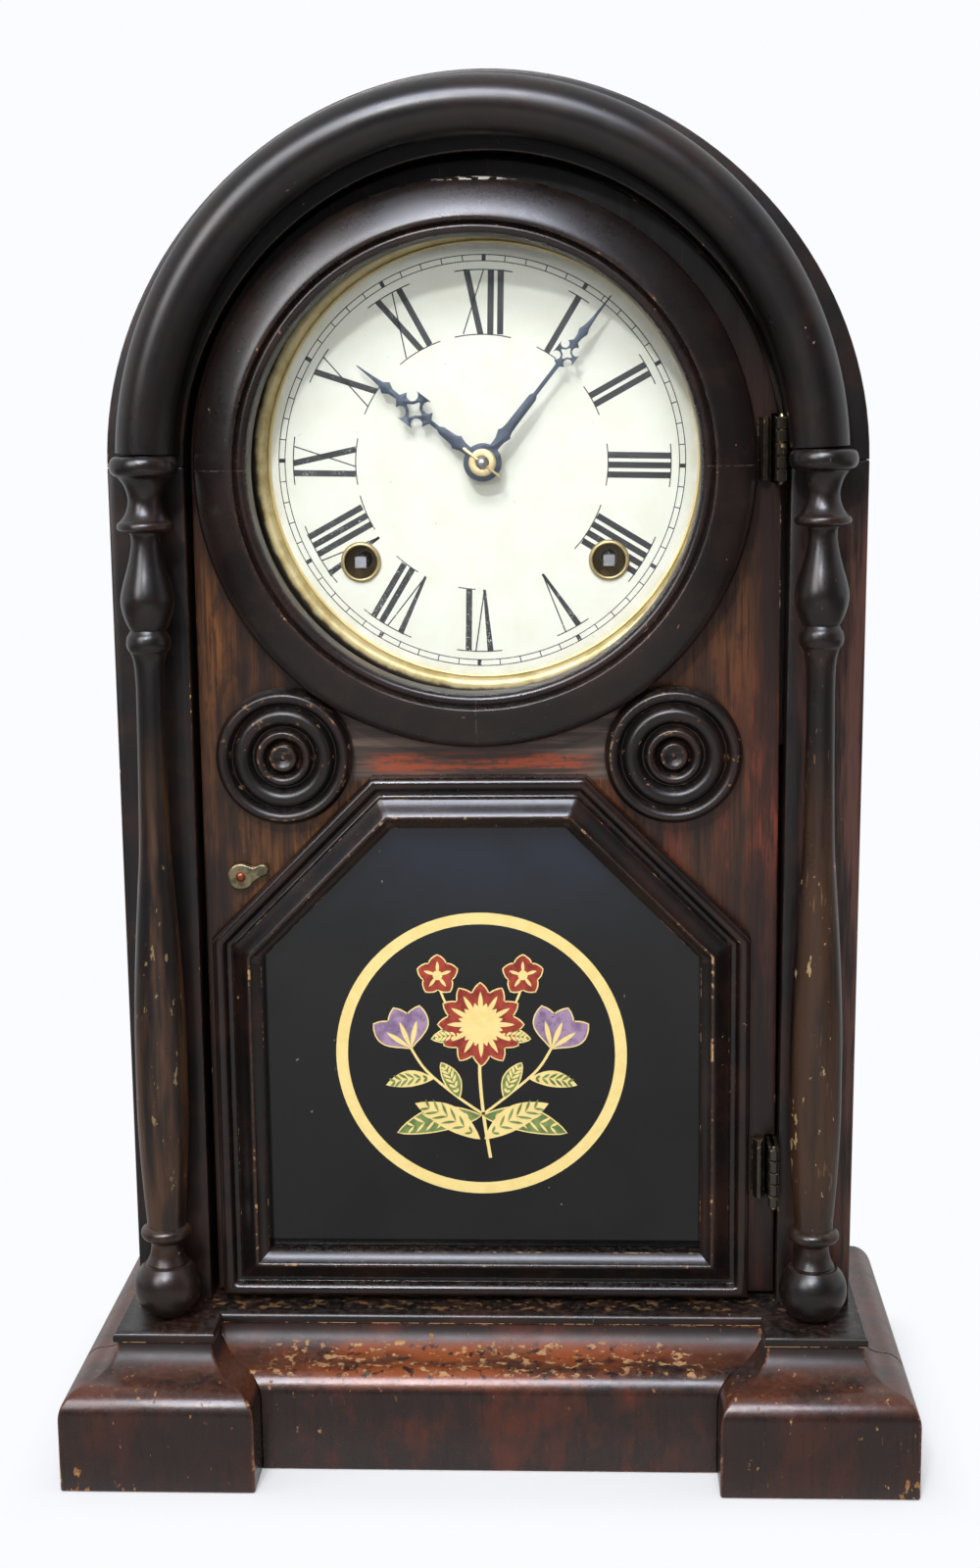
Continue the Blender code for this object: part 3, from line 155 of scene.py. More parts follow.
# %% [markdown]
# Four things make up nearly every finish: a place on the piece, a cloud of noise at that place, a soft step that
# turns the cloud into patches, and a blend of two colours by those patches. A Noise Texture that reads object
# coordinates stays on its piece, and an image would have to be painted and unwrapped for each one.


# %% Patterns
def most(first, second):
    return first.math("MAXIMUM", first, second)


def measures(made):
    """The outputs of a node by name, ready for sums."""
    return {output.name: Measure(output) for output in made.outputs}


def axes(spot):
    """The X, Y and Z of a point."""
    return measures(node(spot.id_data, "SeparateXYZ", {0: spot}))


def between(value, low, high):
    """0 below low, 1 above high, and a soft step in between."""
    step = {"Value": value, "From Min": low, "From Max": high}
    return Measure(node(value.id_data, "MapRange", step, interpolation_type="SMOOTHSTEP").outputs["Result"])


def blend(factor, first, second):
    """The first colour where the factor is 0, the second where it is 1."""
    made = node(factor.id_data, "Mix", data_type="RGBA")
    for socket, value in zip((made.inputs[0], made.inputs[6], made.inputs[7]), (factor, first, second)):
        fill(socket, value)
    return made.outputs[2]


def place_in(tree, scale=(1.0, 1.0, 1.0), offset=(0.0, 0.0, 0.0)):
    """The point on the piece itself, stretched, so that a pattern stays with the piece when it moves."""
    spot = node(tree, "TexCoord").outputs["Object"]
    return node(tree, "Mapping", {"Vector": spot, "Scale": scale, "Location": offset}).outputs["Vector"]


def cloud(spot, scale, detail=3.0, rough=0.5, twist=0.0):
    """Soft noise about 0.5. A higher scale makes it finer."""
    settings = {"Vector": spot, "Scale": scale, "Detail": detail, "Roughness": rough, "Distortion": twist}
    return Measure(node(spot.id_data, "TexNoise", settings).outputs["Fac"])


print("pattern helpers ready")

# %% [markdown]
# ## Stage and light
# The clock stands on white paper in a bright room, and what is in front of it is dimmer than what is behind. The
# paper near the clock takes its faint shadow, and further out it fades into plain white, so no edge of the floor
# shows. One lamp above the camera throws the bezel's curved shadow on the dial, and wide soft lamps do the rest.


# %% Floor
def blank_material(name):
    made = bpy.data.materials.new(name)
    made.use_nodes = True
    made.node_tree.nodes.clear()
    return made, made.node_tree


FLOOR_R = 3.0
HALF_BASE = (0.1271, 0.0605, 1.0)  # the floor's fade is measured from the edge of the base
CAMERA_WHITE, ROOM_BEHIND = colour(0.965, 0.972, 1.0), colour(0.8, 0.81, 0.84)
paper, tree = blank_material("white_paper")
spot = node(tree, "TexCoord").outputs["Object"]
toward_camera = axes(spot)["Y"]
in_front = between(toward_camera, 0.5, 0.1)
well_ahead = between(toward_camera, -1.0, -1.8)
spot = node(tree, "VectorMath", {0: spot}, operation="ABSOLUTE").outputs[0]
spot = node(tree, "VectorMath", {0: spot, 1: HALF_BASE}, operation="SUBTRACT").outputs[0]
spot = node(tree, "VectorMath", {0: spot, 1: (0.0, 0.0, 0.0)}, operation="MAXIMUM").outputs[0]
far = node(tree, "VectorMath", {0: spot}, operation="LENGTH").outputs["Value"]
ray = measures(node(tree, "LightPath"))
mirrored = ray["Is Glossy Ray"]
seen = most(most(ray["Is Camera Ray"], mirrored), ray["Is Transmission Ray"])
plain = between(far, -0.012, 0.022) * seen
soaked = ray["Is Diffuse Ray"] * 0.7
white = blend(soaked, colour(0.95, 0.955, 0.97), colour(0.05, 0.05, 0.05))
matte = node(tree, "BsdfDiffuse", {"Color": white})
dimmed = blend(between(far, 0.1, 0.8), colour(0.52, 0.51, 0.5), ROOM_BEHIND)
aside = between(axes(spot)["X"], 0.1, 0.45)
dimmed = blend(aside * in_front, dimmed, colour(0.16, 0.16, 0.16))
dimmed = blend(well_ahead, dimmed, colour(0.2, 0.2, 0.21))
bright = blend(mirrored, CAMERA_WHITE, dimmed)
bright = node(tree, "Emission", {"Color": bright, "Strength": 1.0})
surface = node(tree, "MixShader", {0: plain, 1: matte.outputs[0], 2: bright.outputs[0]})
node(tree, "OutputMaterial", {"Surface": surface.outputs[0]})

floor_shape = bmesh.new()
bmesh.ops.create_circle(floor_shape, cap_ends=True, segments=64, radius=FLOOR_R)
floor_mesh = bpy.data.meshes.new("floor")
floor_shape.to_mesh(floor_mesh)
floor_shape.free()
floor_mesh.materials.append(paper)
floor = bpy.data.objects.new("floor", floor_mesh)
floor.location.z = -0.2 * MM
bpy.context.scene.collection.objects.link(floor)

print("floor is", 2 * FLOOR_R, "m across")

# %% [markdown]
# The room differs by who looks at it: the camera sees white, polished faces mirror a bright room behind the clock
# and a dark one in front, and matte faces get a soft light from above. A photographer would hang cards and soft
# boxes, and here the Light Path node and area lamps do the same.

# %% World and lamps
world = bpy.data.worlds.new("white_room")
world.use_nodes = True
bpy.context.scene.world = world
tree = world.node_tree
tree.nodes.clear()
toward = axes(node(tree, "TexCoord").outputs["Generated"])
to_front = toward["Y"] * -1.0
mirrored_room = blend(between(to_front, -0.1, 0.7), ROOM_BEHIND, colour(0.05, 0.054, 0.064))
open_room = blend(between(toward["Z"], -0.35, 0.7), colour(0.05, 0.05, 0.055), colour(0.36, 0.365, 0.38))
ray = measures(node(tree, "LightPath"))
polished = most(ray["Is Glossy Ray"], ray["Is Transmission Ray"])
room = blend(polished, open_room, mirrored_room)
room = blend(ray["Is Camera Ray"], room, CAMERA_WHITE)
sky = node(tree, "Background", {"Color": room, "Strength": 1.0})
node(tree, "OutputWorld", {"Surface": sky.outputs[0]})


def lamp(name, place, target, width, height, watts, tint=(1.0, 1.0, 1.0), mirrored=True, matte=True):
    data = bpy.data.lights.new(name, "AREA")
    data.shape = "RECTANGLE"
    data.size, data.size_y = width, height
    data.energy = watts
    data.color = tint
    made = bpy.data.objects.new(name, data)
    made.location = place
    made.rotation_euler = (Vector(target) - Vector(place)).to_track_quat("-Z", "Y").to_euler()
    made.visible_glossy, made.visible_diffuse = mirrored, matte
    bpy.context.scene.collection.objects.link(made)
    print("lamp", name, watts, "W")


lamp("lamp_above_camera", (-0.22, -1.28, 1.08), (0, 0, 0.30), 0.10, 0.09, 8.0)
lamp("soft_box", (-0.10, -1.15, 1.45), (0, 0, 0.35), 0.8, 0.45, 14.5, (0.93, 0.95, 1.0))
lamp("soft_box_gleam", (-0.10, -1.16, 1.45), (0, 0, 0.35), 0.9, 0.5, 13.5, (0.70, 0.76, 1.0), matte=False)
lamp("left_gleam", (-0.75, -1.05, 0.95), (0, 0, 0.25), 0.5, 0.75, 12.0, (0.97, 0.97, 1.0), matte=False)
lamp("front_fill", (0.05, -1.85, 0.66), (0, 0, 0.22), 1.2, 0.2, 10.2, mirrored=False)
lamp("left_card", (-1.15, -0.55, 0.55), (0, 0, 0.22), 0.5, 1.1, 2.0, mirrored=False)
lamp("right_card", (1.15, -0.45, 0.55), (0, 0, 0.22), 0.5, 1.1, 1.2, mirrored=False)
bpy.context.scene.view_settings.view_transform = "Standard"

# %% [markdown]
# ## Turning and planing in code
# Most of this clock was made on a lathe or with moulding planes. A turned piece is a profile swung round an axis,
# and a moulding is a profile carried along a path, so a few helpers make nearly all of it. Corners are eased a
# little, because no real edge is perfectly sharp and the eased corner is what catches the light.


# %% Profile helpers
def arc(cx, cy, rx, start, end, steps, ry=None):
    ry = rx if ry is None else ry
    angles = [math.radians(start + (end - start) * i / steps) for i in range(steps + 1)]
    return [(cx + rx * math.cos(a), cy + ry * math.sin(a)) for a in angles]


def ring_of(cx, cy, r, steps):
    return arc(cx, cy, r, 0, 360 - 360 / steps, steps - 1)


def hole(cx, cy, r, steps):
    """A ring listed the other way round, which is how slab() knows a hole."""
    return list(reversed(ring_of(cx, cy, r, steps)))


def flowing(knots, per_span=6):
    """A smooth curve through all the knots."""
    points = []
    for i in range(len(knots) - 1):
        before, here = Vector(knots[max(i - 1, 0)]), Vector(knots[i])
        there, after = Vector(knots[i + 1]), Vector(knots[min(i + 2, len(knots) - 1)])
        for k in range(per_span):
            t = k / per_span
            points.append(tuple(
                here * (2 * t**3 - 3 * t**2 + 1) + (there - before) / 2 * (t**3 - 2 * t**2 + t)
                + there * (3 * t**2 - 2 * t**3) + (after - here) / 2 * (t**3 - t**2)
            ))
    return points + [tuple(knots[-1])]


def eased(points, radius, closed=False):
    """The same outline with every clear corner rounded off."""
    count = len(points)
    result = []
    for i, point in enumerate(points):
        here = Vector(point)
        if not closed and i in (0, count - 1):
            result.append(tuple(here))
            continue
        back, on = Vector(points[i - 1]) - here, Vector(points[(i + 1) % count]) - here
        if back.length < 1e-6 or on.length < 1e-6:
            continue
        if math.pi - back.angle(on) < math.radians(24):
            result.append(tuple(here))
            continue
        cut = min(radius, 0.42 * back.length, 0.42 * on.length)
        first, last = here + back.normalized() * cut, here + on.normalized() * cut
        for t in (0.0, 0.33, 0.67, 1.0):
            result.append(tuple(first * (1 - t) ** 2 + here * 2 * t * (1 - t) + last * t**2))
    return result


square = eased([(0, 0), (1, 0), (1, 1), (0, 1)], 0.2, closed=True)
print("profile helpers ready; an eased square has", len(square), "points")

# %% [markdown]
# ## Edges and hollows
# Polish wears off where a piece stands out and dirt stays where it lies in. A shader can guess at this, but the
# mesh knows it exactly, so each vertex stores how sharply it bends outward (edge) or inward (hollow), and the
# finishes read these two numbers.


# %% Mesh helpers
SOFT_BEND, SHARP_BEND = 330.0, 1500.0  # radians per metre where wear begins and where it is full
CREASE = math.radians(38.0)


def mark_edges(shape):
    edge = shape.verts.layers.float.new("edge")
    hollow = shape.verts.layers.float.new("hollow")
    for line in shape.edges:
        if len(line.link_faces) != 2:
            continue
        one, two = line.link_faces
        reach = max((one.calc_center_median() - two.calc_center_median()).length, 1e-5)
        bend = line.calc_face_angle_signed(0.0) / reach
        share = min(max((abs(bend) - SOFT_BEND) / (SHARP_BEND - SOFT_BEND), 0.0), 1.0)
        layer = edge if bend > 0 else hollow
        for vertex in line.verts:
            vertex[layer] = max(vertex[layer], share)


made_pieces = []


def keep(name, shape, finish, body, stands_for=()):
    """Makes a piece of the mesh, marks its edges, and lets it ride on a CAD body."""
    bmesh.ops.remove_doubles(shape, verts=shape.verts, dist=2e-7)
    bmesh.ops.recalc_face_normals(shape, faces=shape.faces)
    mark_edges(shape)
    mesh = bpy.data.meshes.new(name)
    shape.to_mesh(mesh)
    shape.free()
    mesh.shade_smooth()
    mesh.set_sharp_from_angle(angle=CREASE)
    mesh.materials.append(finish)
    piece = bpy.data.objects.new(name, mesh)
    bpy.context.scene.collection.objects.link(piece)
    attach(piece, body)
    if stands_for:
        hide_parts(*stands_for)
    made_pieces.append(piece)
    return piece


print("wear begins at", SOFT_BEND, "and is full at", SHARP_BEND, "radians per metre")

# %% [markdown]
# Four shapes make nearly every piece: a profile swung round an axis, a skin drawn through rings of points, a flat
# piece cut to an outline, and a planed block. The flat ones get a narrow margin inside their edges, so that the
# wear stored at an edge does not spread over the face.


# %% Shapes
def lathe(profile, centre, steps=96, facing="front", ring=False, onto=None):
    """Swings (radius, height) round an axis through centre. Height points up or to the front."""
    shape = bmesh.new() if onto is None else onto
    rows = []
    for r, h in profile:
        row = []
        for i in range(steps if r > 1e-6 else 1):
            a = 2 * math.pi * i / steps
            x, y = r * math.cos(a) * MM, r * math.sin(a) * MM
            offset = Vector((x, y, h * MM)) if facing == "up" else Vector((x, -h * MM, y))
            row.append(shape.verts.new(centre + offset))
        rows.append(row)
    pairs = list(zip(rows, rows[1:])) + ([(rows[-1], rows[0])] if ring else [])
    for low, high in pairs:
        for i in range(steps):
            j = (i + 1) % steps
            corners = [low[i % len(low)], low[j % len(low)], high[j % len(high)], high[i % len(high)]]
            corners = list(dict.fromkeys(corners))
            if len(corners) > 2:
                shape.faces.new(corners)
    return shape


def loft(rings, closed=False, capped=True, onto=None):
    """A skin through rings of points. It is capped at its ends, or joined end to end where closed."""
    shape = bmesh.new() if onto is None else onto
    loops = [[shape.verts.new(point) for point in points] for points in rings]
    pairs = list(zip(loops, loops[1:]))
    if closed:
        pairs.append((loops[-1], loops[0]))
    elif capped:
        shape.faces.new(loops[0])
        shape.faces.new(loops[-1])
    for low, high in pairs:
        for i in range(len(low)):
            j = (i + 1) % len(low)
            shape.faces.new((low[i], low[j], high[j], high[i]))
    return shape


def drawn_in(outline, amount):
    """The outline moved inward. A hole is listed clockwise, so it moves outward, into the wood."""
    moved = []
    for i, point in enumerate(outline):
        here = Vector(point)
        came = (here - Vector(outline[i - 1])).normalized()
        goes = (Vector(outline[(i + 1) % len(outline)]) - here).normalized()
        one, two = Vector((-came.y, came.x)), Vector((-goes.y, goes.x))
        moved.append(tuple(here + (one + two) * amount / max(1 + one.dot(two), 0.4)))
    return moved


def slab(outlines, front, thick, rounding=0.4, margin=2.5, x=0.0, z=0.0, turned=0.0):
    """A flat piece with eased edges: outlines in X and Z about (x, z), face at depth front, turned clockwise."""
    quarter = [math.radians(angle) for angle in (90, 60, 30, 0)]
    corner = [(rounding * (1 - math.cos(a)), rounding * (1 - math.sin(a))) for a in quarter]
    if margin:
        corner.insert(0, (rounding + margin, 0.0))
    section = corner + [(inset, thick - depth) for inset, depth in reversed(corner)]
    place = Matrix.Translation(at(x, front, z)) @ Matrix.Rotation(math.radians(turned), 4, "Y")
    shape = bmesh.new()
    ends = {0: [], len(section) - 1: []}
    for outline in outlines:
        rings = []
        for i, (inset, depth) in enumerate(section):
            ring = [place @ (Vector((px, depth, pz)) * MM) for px, pz in drawn_in(outline, inset)]
            rings.append(ring)
            if i in ends:
                ends[i].append(ring)
        loft(rings, capped=False, onto=shape)
    for rings in ends.values():
        corners = [shape.verts.new(point) for ring in rings for point in ring]
        for triangle in tessellate_polygon(rings):
            shape.faces.new([corners[i] for i in triangle])
    return shape


def planed_block(low, high, rounding=0.5, margin=3.0):
    """A planed length of wood with eased corners, between two corner points."""
    shape = bmesh.new()
    bmesh.ops.create_cube(shape, size=1.0)
    size = [abs(high[i] - low[i]) for i in range(3)]
    bmesh.ops.scale(shape, vec=size, verts=shape.verts)
    bmesh.ops.translate(shape, vec=(Vector(low) + Vector(high)) / 2, verts=shape.verts)
    bmesh.ops.bevel(shape, geom=shape.edges[:], offset=rounding * MM, segments=3, profile=0.5, affect="EDGES")
    broad = sorted(shape.faces, key=lambda f: -f.calc_area())[:6]
    thin = min(size) / MM
    bmesh.ops.inset_individual(shape, faces=broad, thickness=min(margin, 0.3 * thin) * MM)
    return shape


print("shape helpers ready")

# %% [markdown]
# ## Wear that many finishes share
# Age shows in the same few ways all over an old clock: rubbed and chipped edges, bare flecks, fine scratches, and
# dust that settles on ledges. Each of them is a node group here, so that a finish can ask for more or less of it
# and every finish wears alike. Patterns read the piece's own coordinates, so that they turn with a piece that
# moves.


# %% Node groups for wear
def stored(tree, name):
    """A number that the mesh stores at each vertex."""
    return Measure(node(tree, "Attribute", attribute_name=name).outputs["Fac"])


def effect(name, inputs, outputs):
    """A node group of plain numbers: its tree, its inputs by name, and its output sockets."""
    tree = bpy.data.node_groups.new(name, "ShaderNodeTree")
    for label, default in inputs.items():
        tree.interface.new_socket(label, in_out="INPUT", socket_type="NodeSocketFloat").default_value = default
    for label in outputs:
        tree.interface.new_socket(label, in_out="OUTPUT", socket_type="NodeSocketFloat")
    return tree, measures(tree.nodes.new("NodeGroupInput")), tree.nodes.new("NodeGroupOutput").inputs


def use(tree, group, **amounts):
    made = tree.nodes.new("ShaderNodeGroup")
    made.node_tree = group
    for label, value in amounts.items():
        made.inputs[label].default_value = value
    return measures(made)


worn_edges, given, result = effect("worn_edges", {"Amount": 0.5}, ["Rubbed", "Bare"])
edge = stored(worn_edges, "edge")
patches = cloud(place_in(worn_edges), 85.0, 4.0, 0.6)
chips = cloud(place_in(worn_edges, offset=(3.1, 1.7, 0.4)), 620.0, 3.0, 0.6)
lift = given["Amount"] - 0.5
mottled = patches * 1.5 + chips + lift
fill(result["Rubbed"], edge * between(mottled, 0.95, 1.45))
fill(result["Bare"], between(edge, 0.25, 0.8) * between(mottled, 1.44, 1.56))

flecks, given, result = effect("flecks", {"Share": 0.1, "Size": 0.22, "Scale": 320.0}, ["Fleck"])
jitter = node(flecks, "TexNoise", {"Vector": place_in(flecks), "Scale": 900.0, "Detail": 2.0}).outputs["Color"]
shaken = node(flecks, "VectorMath", {0: jitter, 1: (0.0024, 0.0024, 0.0024)}, operation="MULTIPLY").outputs[0]
shaken = node(flecks, "VectorMath", {0: place_in(flecks), 1: shaken}, operation="ADD").outputs[0]
cells = measures(node(flecks, "TexVoronoi", {"Vector": shaken, "Scale": given["Scale"]}))
luck = measures(node(flecks, "SeparateColor", {0: cells["Color"]}))["Red"]
fill(result["Fleck"], (luck < given["Share"]) * (cells["Distance"] < given["Size"]))

scratches, given, result = effect("scratches", {"Amount": 0.5}, ["Scratch"])
lines = cloud(place_in(scratches, (1.0, 1.0, 0.05), (0.7, 0.2, 0.1)), 1700.0, 2.0, 0.5)
lean = cloud(place_in(scratches, (0.75, 1.0, 0.18), (1.7, 0.9, 0.3)), 1300.0, 2.0, 0.5)
patches = cloud(place_in(scratches, offset=(0.3, 2.2, 1.1)), 60.0, 3.0, 0.5)
limit = 0.86 - given["Amount"] * 0.3 - (patches - 0.5) * 0.5
fill(result["Scratch"], most(lines, lean) > limit)

dust, given, result = effect("dust", {"Amount": 0.5}, ["Dust"])
facing = axes(node(dust, "TexCoord").outputs["Normal"])["Z"]
hollow = stored(dust, "hollow")
powder = cloud(place_in(dust), 420.0, 5.0, 0.7)
lying = between(facing, 0.55, 0.98) * between(powder, 0.42, 0.68)
caught = hollow * between(powder, 0.45, 0.7)
fill(result["Dust"], most(lying, caught * 0.6) * given["Amount"])
print("wear groups:", [group.name for group in bpy.data.node_groups])

# %% [markdown]
# ## Ebonised wood
# The columns, the arch and the mouldings are pale wood stained black and polished, a cheap stand-in for ebony.
# Where hands rub it the stain goes brown, and where it is knocked the bare wood shows tan. One recipe makes all the
# black woods, with its amounts changed from piece to piece.


# %% Ebonised wood
ARCH_Z = 300.5  # height of the arch's centre, which is the dial's centre too


def principled(made, inputs):
    tree = made.node_tree
    shader = node(tree, "BsdfPrincipled", inputs)
    node(tree, "OutputMaterial", {"Surface": shader.outputs[0]})
    print("finish:", made.name)
    return made


def bumped(height, depth_mm, strength):
    relief = {"Height": height, "Distance": depth_mm * MM, "Strength": strength}
    return node(height.id_data, "Bump", relief).outputs["Normal"]


def capped_sum(first, second):
    """A sum that stays between 0 and 1."""
    return first.math("ADD", first, second, use_clamp=True)


def stays_within(value, low, high, soft):
    """1 between low and high, fading over soft on both sides."""
    return between(value, low - soft, low) * between(value, high + soft, high)


def ebonised(name, black="#120e0d", brown="#3a2117", brownness=0.5, along=(1.0, 1.0, 1.0), rough=0.2,
             wear=0.5, share=0.03, dusty=0.1, scored=0.0, shaft=0.0, lost=0.0, jointed=0.0, chipped=0.0,
             strip=0.0, strip_from=0.55, shaded=0.0, shade_mm=100.0, ruddy=0.0):
    """Black polish and its wear. share counts bare flecks, shaft browns a column's shaft and lost wears it, jointed
    marks the bezel's joints, chipped paints white highlight glints with a few chips on the bezel's top edge, strip
    scrapes what lies near the door, shaded paints shade under the arch, and ruddy reddens the right post."""
    made, tree = blank_material(name)
    spot = place_in(tree)
    undertone = between(cloud(place_in(tree, along), 48.0, 4.0, 0.62), 0.42, 0.7)
    base = blend(undertone * brownness, black, brown)
    x, y, height = axes(spot).values()
    # A brown band round the middle of a column's shaft.
    shaft_brown_band = cloud(place_in(tree, (1.0, 1.0, 0.08)), 130.0, 4.0, 0.6)
    shaft_brown_band = stays_within(height, 0.095, 0.185, 0.045) * between(shaft_brown_band, 0.36, 0.62)
    base = blend(shaft_brown_band * shaft, base, "#5a3c26")
    above = height - ARCH_Z * MM
    away = x * x + above * above
    shade_edge = (shade_mm * MM) ** 2
    in_shade = between(away, shade_edge + 0.0004, shade_edge - 0.0004) * between(above, 0.01, 0.05)
    base = blend(in_shade * shaded, base, "#050303")
    joint = stays_within(height, 0.2992, 0.2994, 0.0001)
    below = stays_within(x, -0.0021, -0.0019, 0.0001) * between(height, 0.3, 0.29)
    joint = most(joint, below) * between(cloud(spot, 500.0), 0.35, 0.6)
    base = blend(joint * jointed, base, "#6a5a50")
    worn = use(tree, worn_edges, Amount=wear)
    base = blend(worn["Rubbed"] * 0.5, base, "#4e3022")
    near_door = stays_within(y, at(0, 37.0, 0).y, at(0, 45.0, 0).y, 0.003)
    scraped = between(cloud(place_in(tree, (0.7, 1.0, 1.0)), 330.0, 5.0, 0.65), strip_from, strip_from + 0.04)
    base = blend(scraped * near_door * strip, base, "#7d5c3c")
    scratched = use(tree, scratches, Amount=scored)["Scratch"]
    base = blend(scratched * 0.55, base, "#7a5a3c")
    upright = cloud(place_in(tree, (1.0, 1.0, 0.06), (0.9, 0.3, 0.1)), 420.0, 4.0, 0.62)
    right_edge = between(x, 0.09, 0.097) * between(upright, 0.34, 0.6)
    base = blend(right_edge * between(height, 0.3, 0.27) * ruddy, base, "#54362d")
    bruises = between(cloud(place_in(tree, (1.0, 1.0, 0.42), (3.3, 0.2, 1.7)), 300.0, 4.0, 0.6), 0.645, 0.67)
    base = blend(bruises * stays_within(height, 0.085, 0.19, 0.02) * lost, base, "#b3986a")
    base = blend(worn["Bare"], base, "#b48c60")
    # Painted highlight: white glints, with a few chips, along the top of the bezel's outer edge, where the light
    # catches it.
    glints = between(height, 0.3801, 0.3805) * between(cloud(spot, 420.0), 0.5, 0.54)
    base = blend(glints * chipped, base, "#e6e0d6")
    fleck = use(tree, flecks, Share=share, Size=0.13, Scale=430.0)["Fleck"]
    base = blend(fleck * 0.8, base, "#8f6a47")
    lying = use(tree, dust, Amount=dusty)["Dust"]
    base = blend(lying, base, "#8f8579")
    fine = cloud(spot, 900.0, 3.0, 0.6)
    dull = most(most(worn["Bare"], fleck), lying)
    satin = cloud(spot, 70.0, 4.0, 0.65)
    gloss = capped_sum(rough - 0.14 + (fine * 0.12 + satin * 0.16), dull * 0.4)
    relief = bumped(cloud(spot, 260.0, 3.0, 0.5) * 0.5 - dull, 0.02, 0.15)
    return principled(made, {"Base Color": base, "Roughness": gloss, "Normal": relief})


print("one recipe for all the black woods")

# %% [markdown]
# Each black piece now gets its own amounts. The columns are browned and worn along their shafts, the rosettes and
# the ledge are scraped, the arch and the frame get painted shade under the arch, the bezel gets painted highlight
# glints with a few chips on its top edge, and the inside of the bezel is rubbed dull. Keeping them as separate
# materials lets one be changed without the others.

# %% Black woods
BLACK_TURNED = {
    "left": ebonised("ebonised_column_left", brownness=0.25, rough=0.31, wear=0.42, scored=0.25, shaft=1.0, lost=0.4),
    "right": ebonised("ebonised_column_right", brownness=0.25, rough=0.31, wear=0.42, share=0.04, scored=0.4,
                      shaft=0.42, lost=0.75),
}
BLACK_ROSETTE = ebonised("ebonised_rosettes", brownness=0.2, rough=0.36, wear=0.55, share=0.06, strip=0.85,
                         strip_from=0.63)
BLACK_ARCH = ebonised("ebonised_arch", brownness=0.25, rough=0.31, wear=0.3, share=0.02, scored=0.12, shaded=0.9,
                      shade_mm=92.5)
# chipped=0.9 paints white highlight glints, with a few chips, on the bezel's top edge.
BLACK_BEZEL = ebonised("ebonised_bezel", "#181210", "#34221a", brownness=0.4, rough=0.29, wear=0.44, share=0.035,
                       scored=0.1, jointed=0.5, chipped=0.9)
RUBBED_REVEAL = ebonised("rubbed_reveal", "#0c0908", "#4a3318", brownness=0.7, rough=0.42, wear=0.3, share=0.1)
BLACK_FRAME = ebonised("ebonised_frame", brownness=0.4, rough=0.34, wear=0.42, share=0.012, shaded=0.9, ruddy=0.85)
BLACK_HOOD = ebonised("stained_case", "#1d1310", "#4a281a", brownness=0.7, along=(4.0, 4.0, 0.3), rough=0.4,
                      share=0.015)
BLACK_TABLET = ebonised("ebonised_moulding", brownness=0.4, rough=0.24, wear=0.55, dusty=0.14, scored=0.15)
BLACK_LEDGE = ebonised("ebonised_ledge", brown="#40231a", rough=0.34, wear=0.72, share=0.06, dusty=0.12, strip=0.9)

# %% [markdown]
# ## Veneers and pine
# The base is dark veneer over pine, and its shoulder has been knocked and wiped for a century, so a band of red
# ground and bare wood shows there. Heights on the piece say where the band lies, and clouds of noise break it up
# into patches, chips and pits, which would be slow to paint by hand.


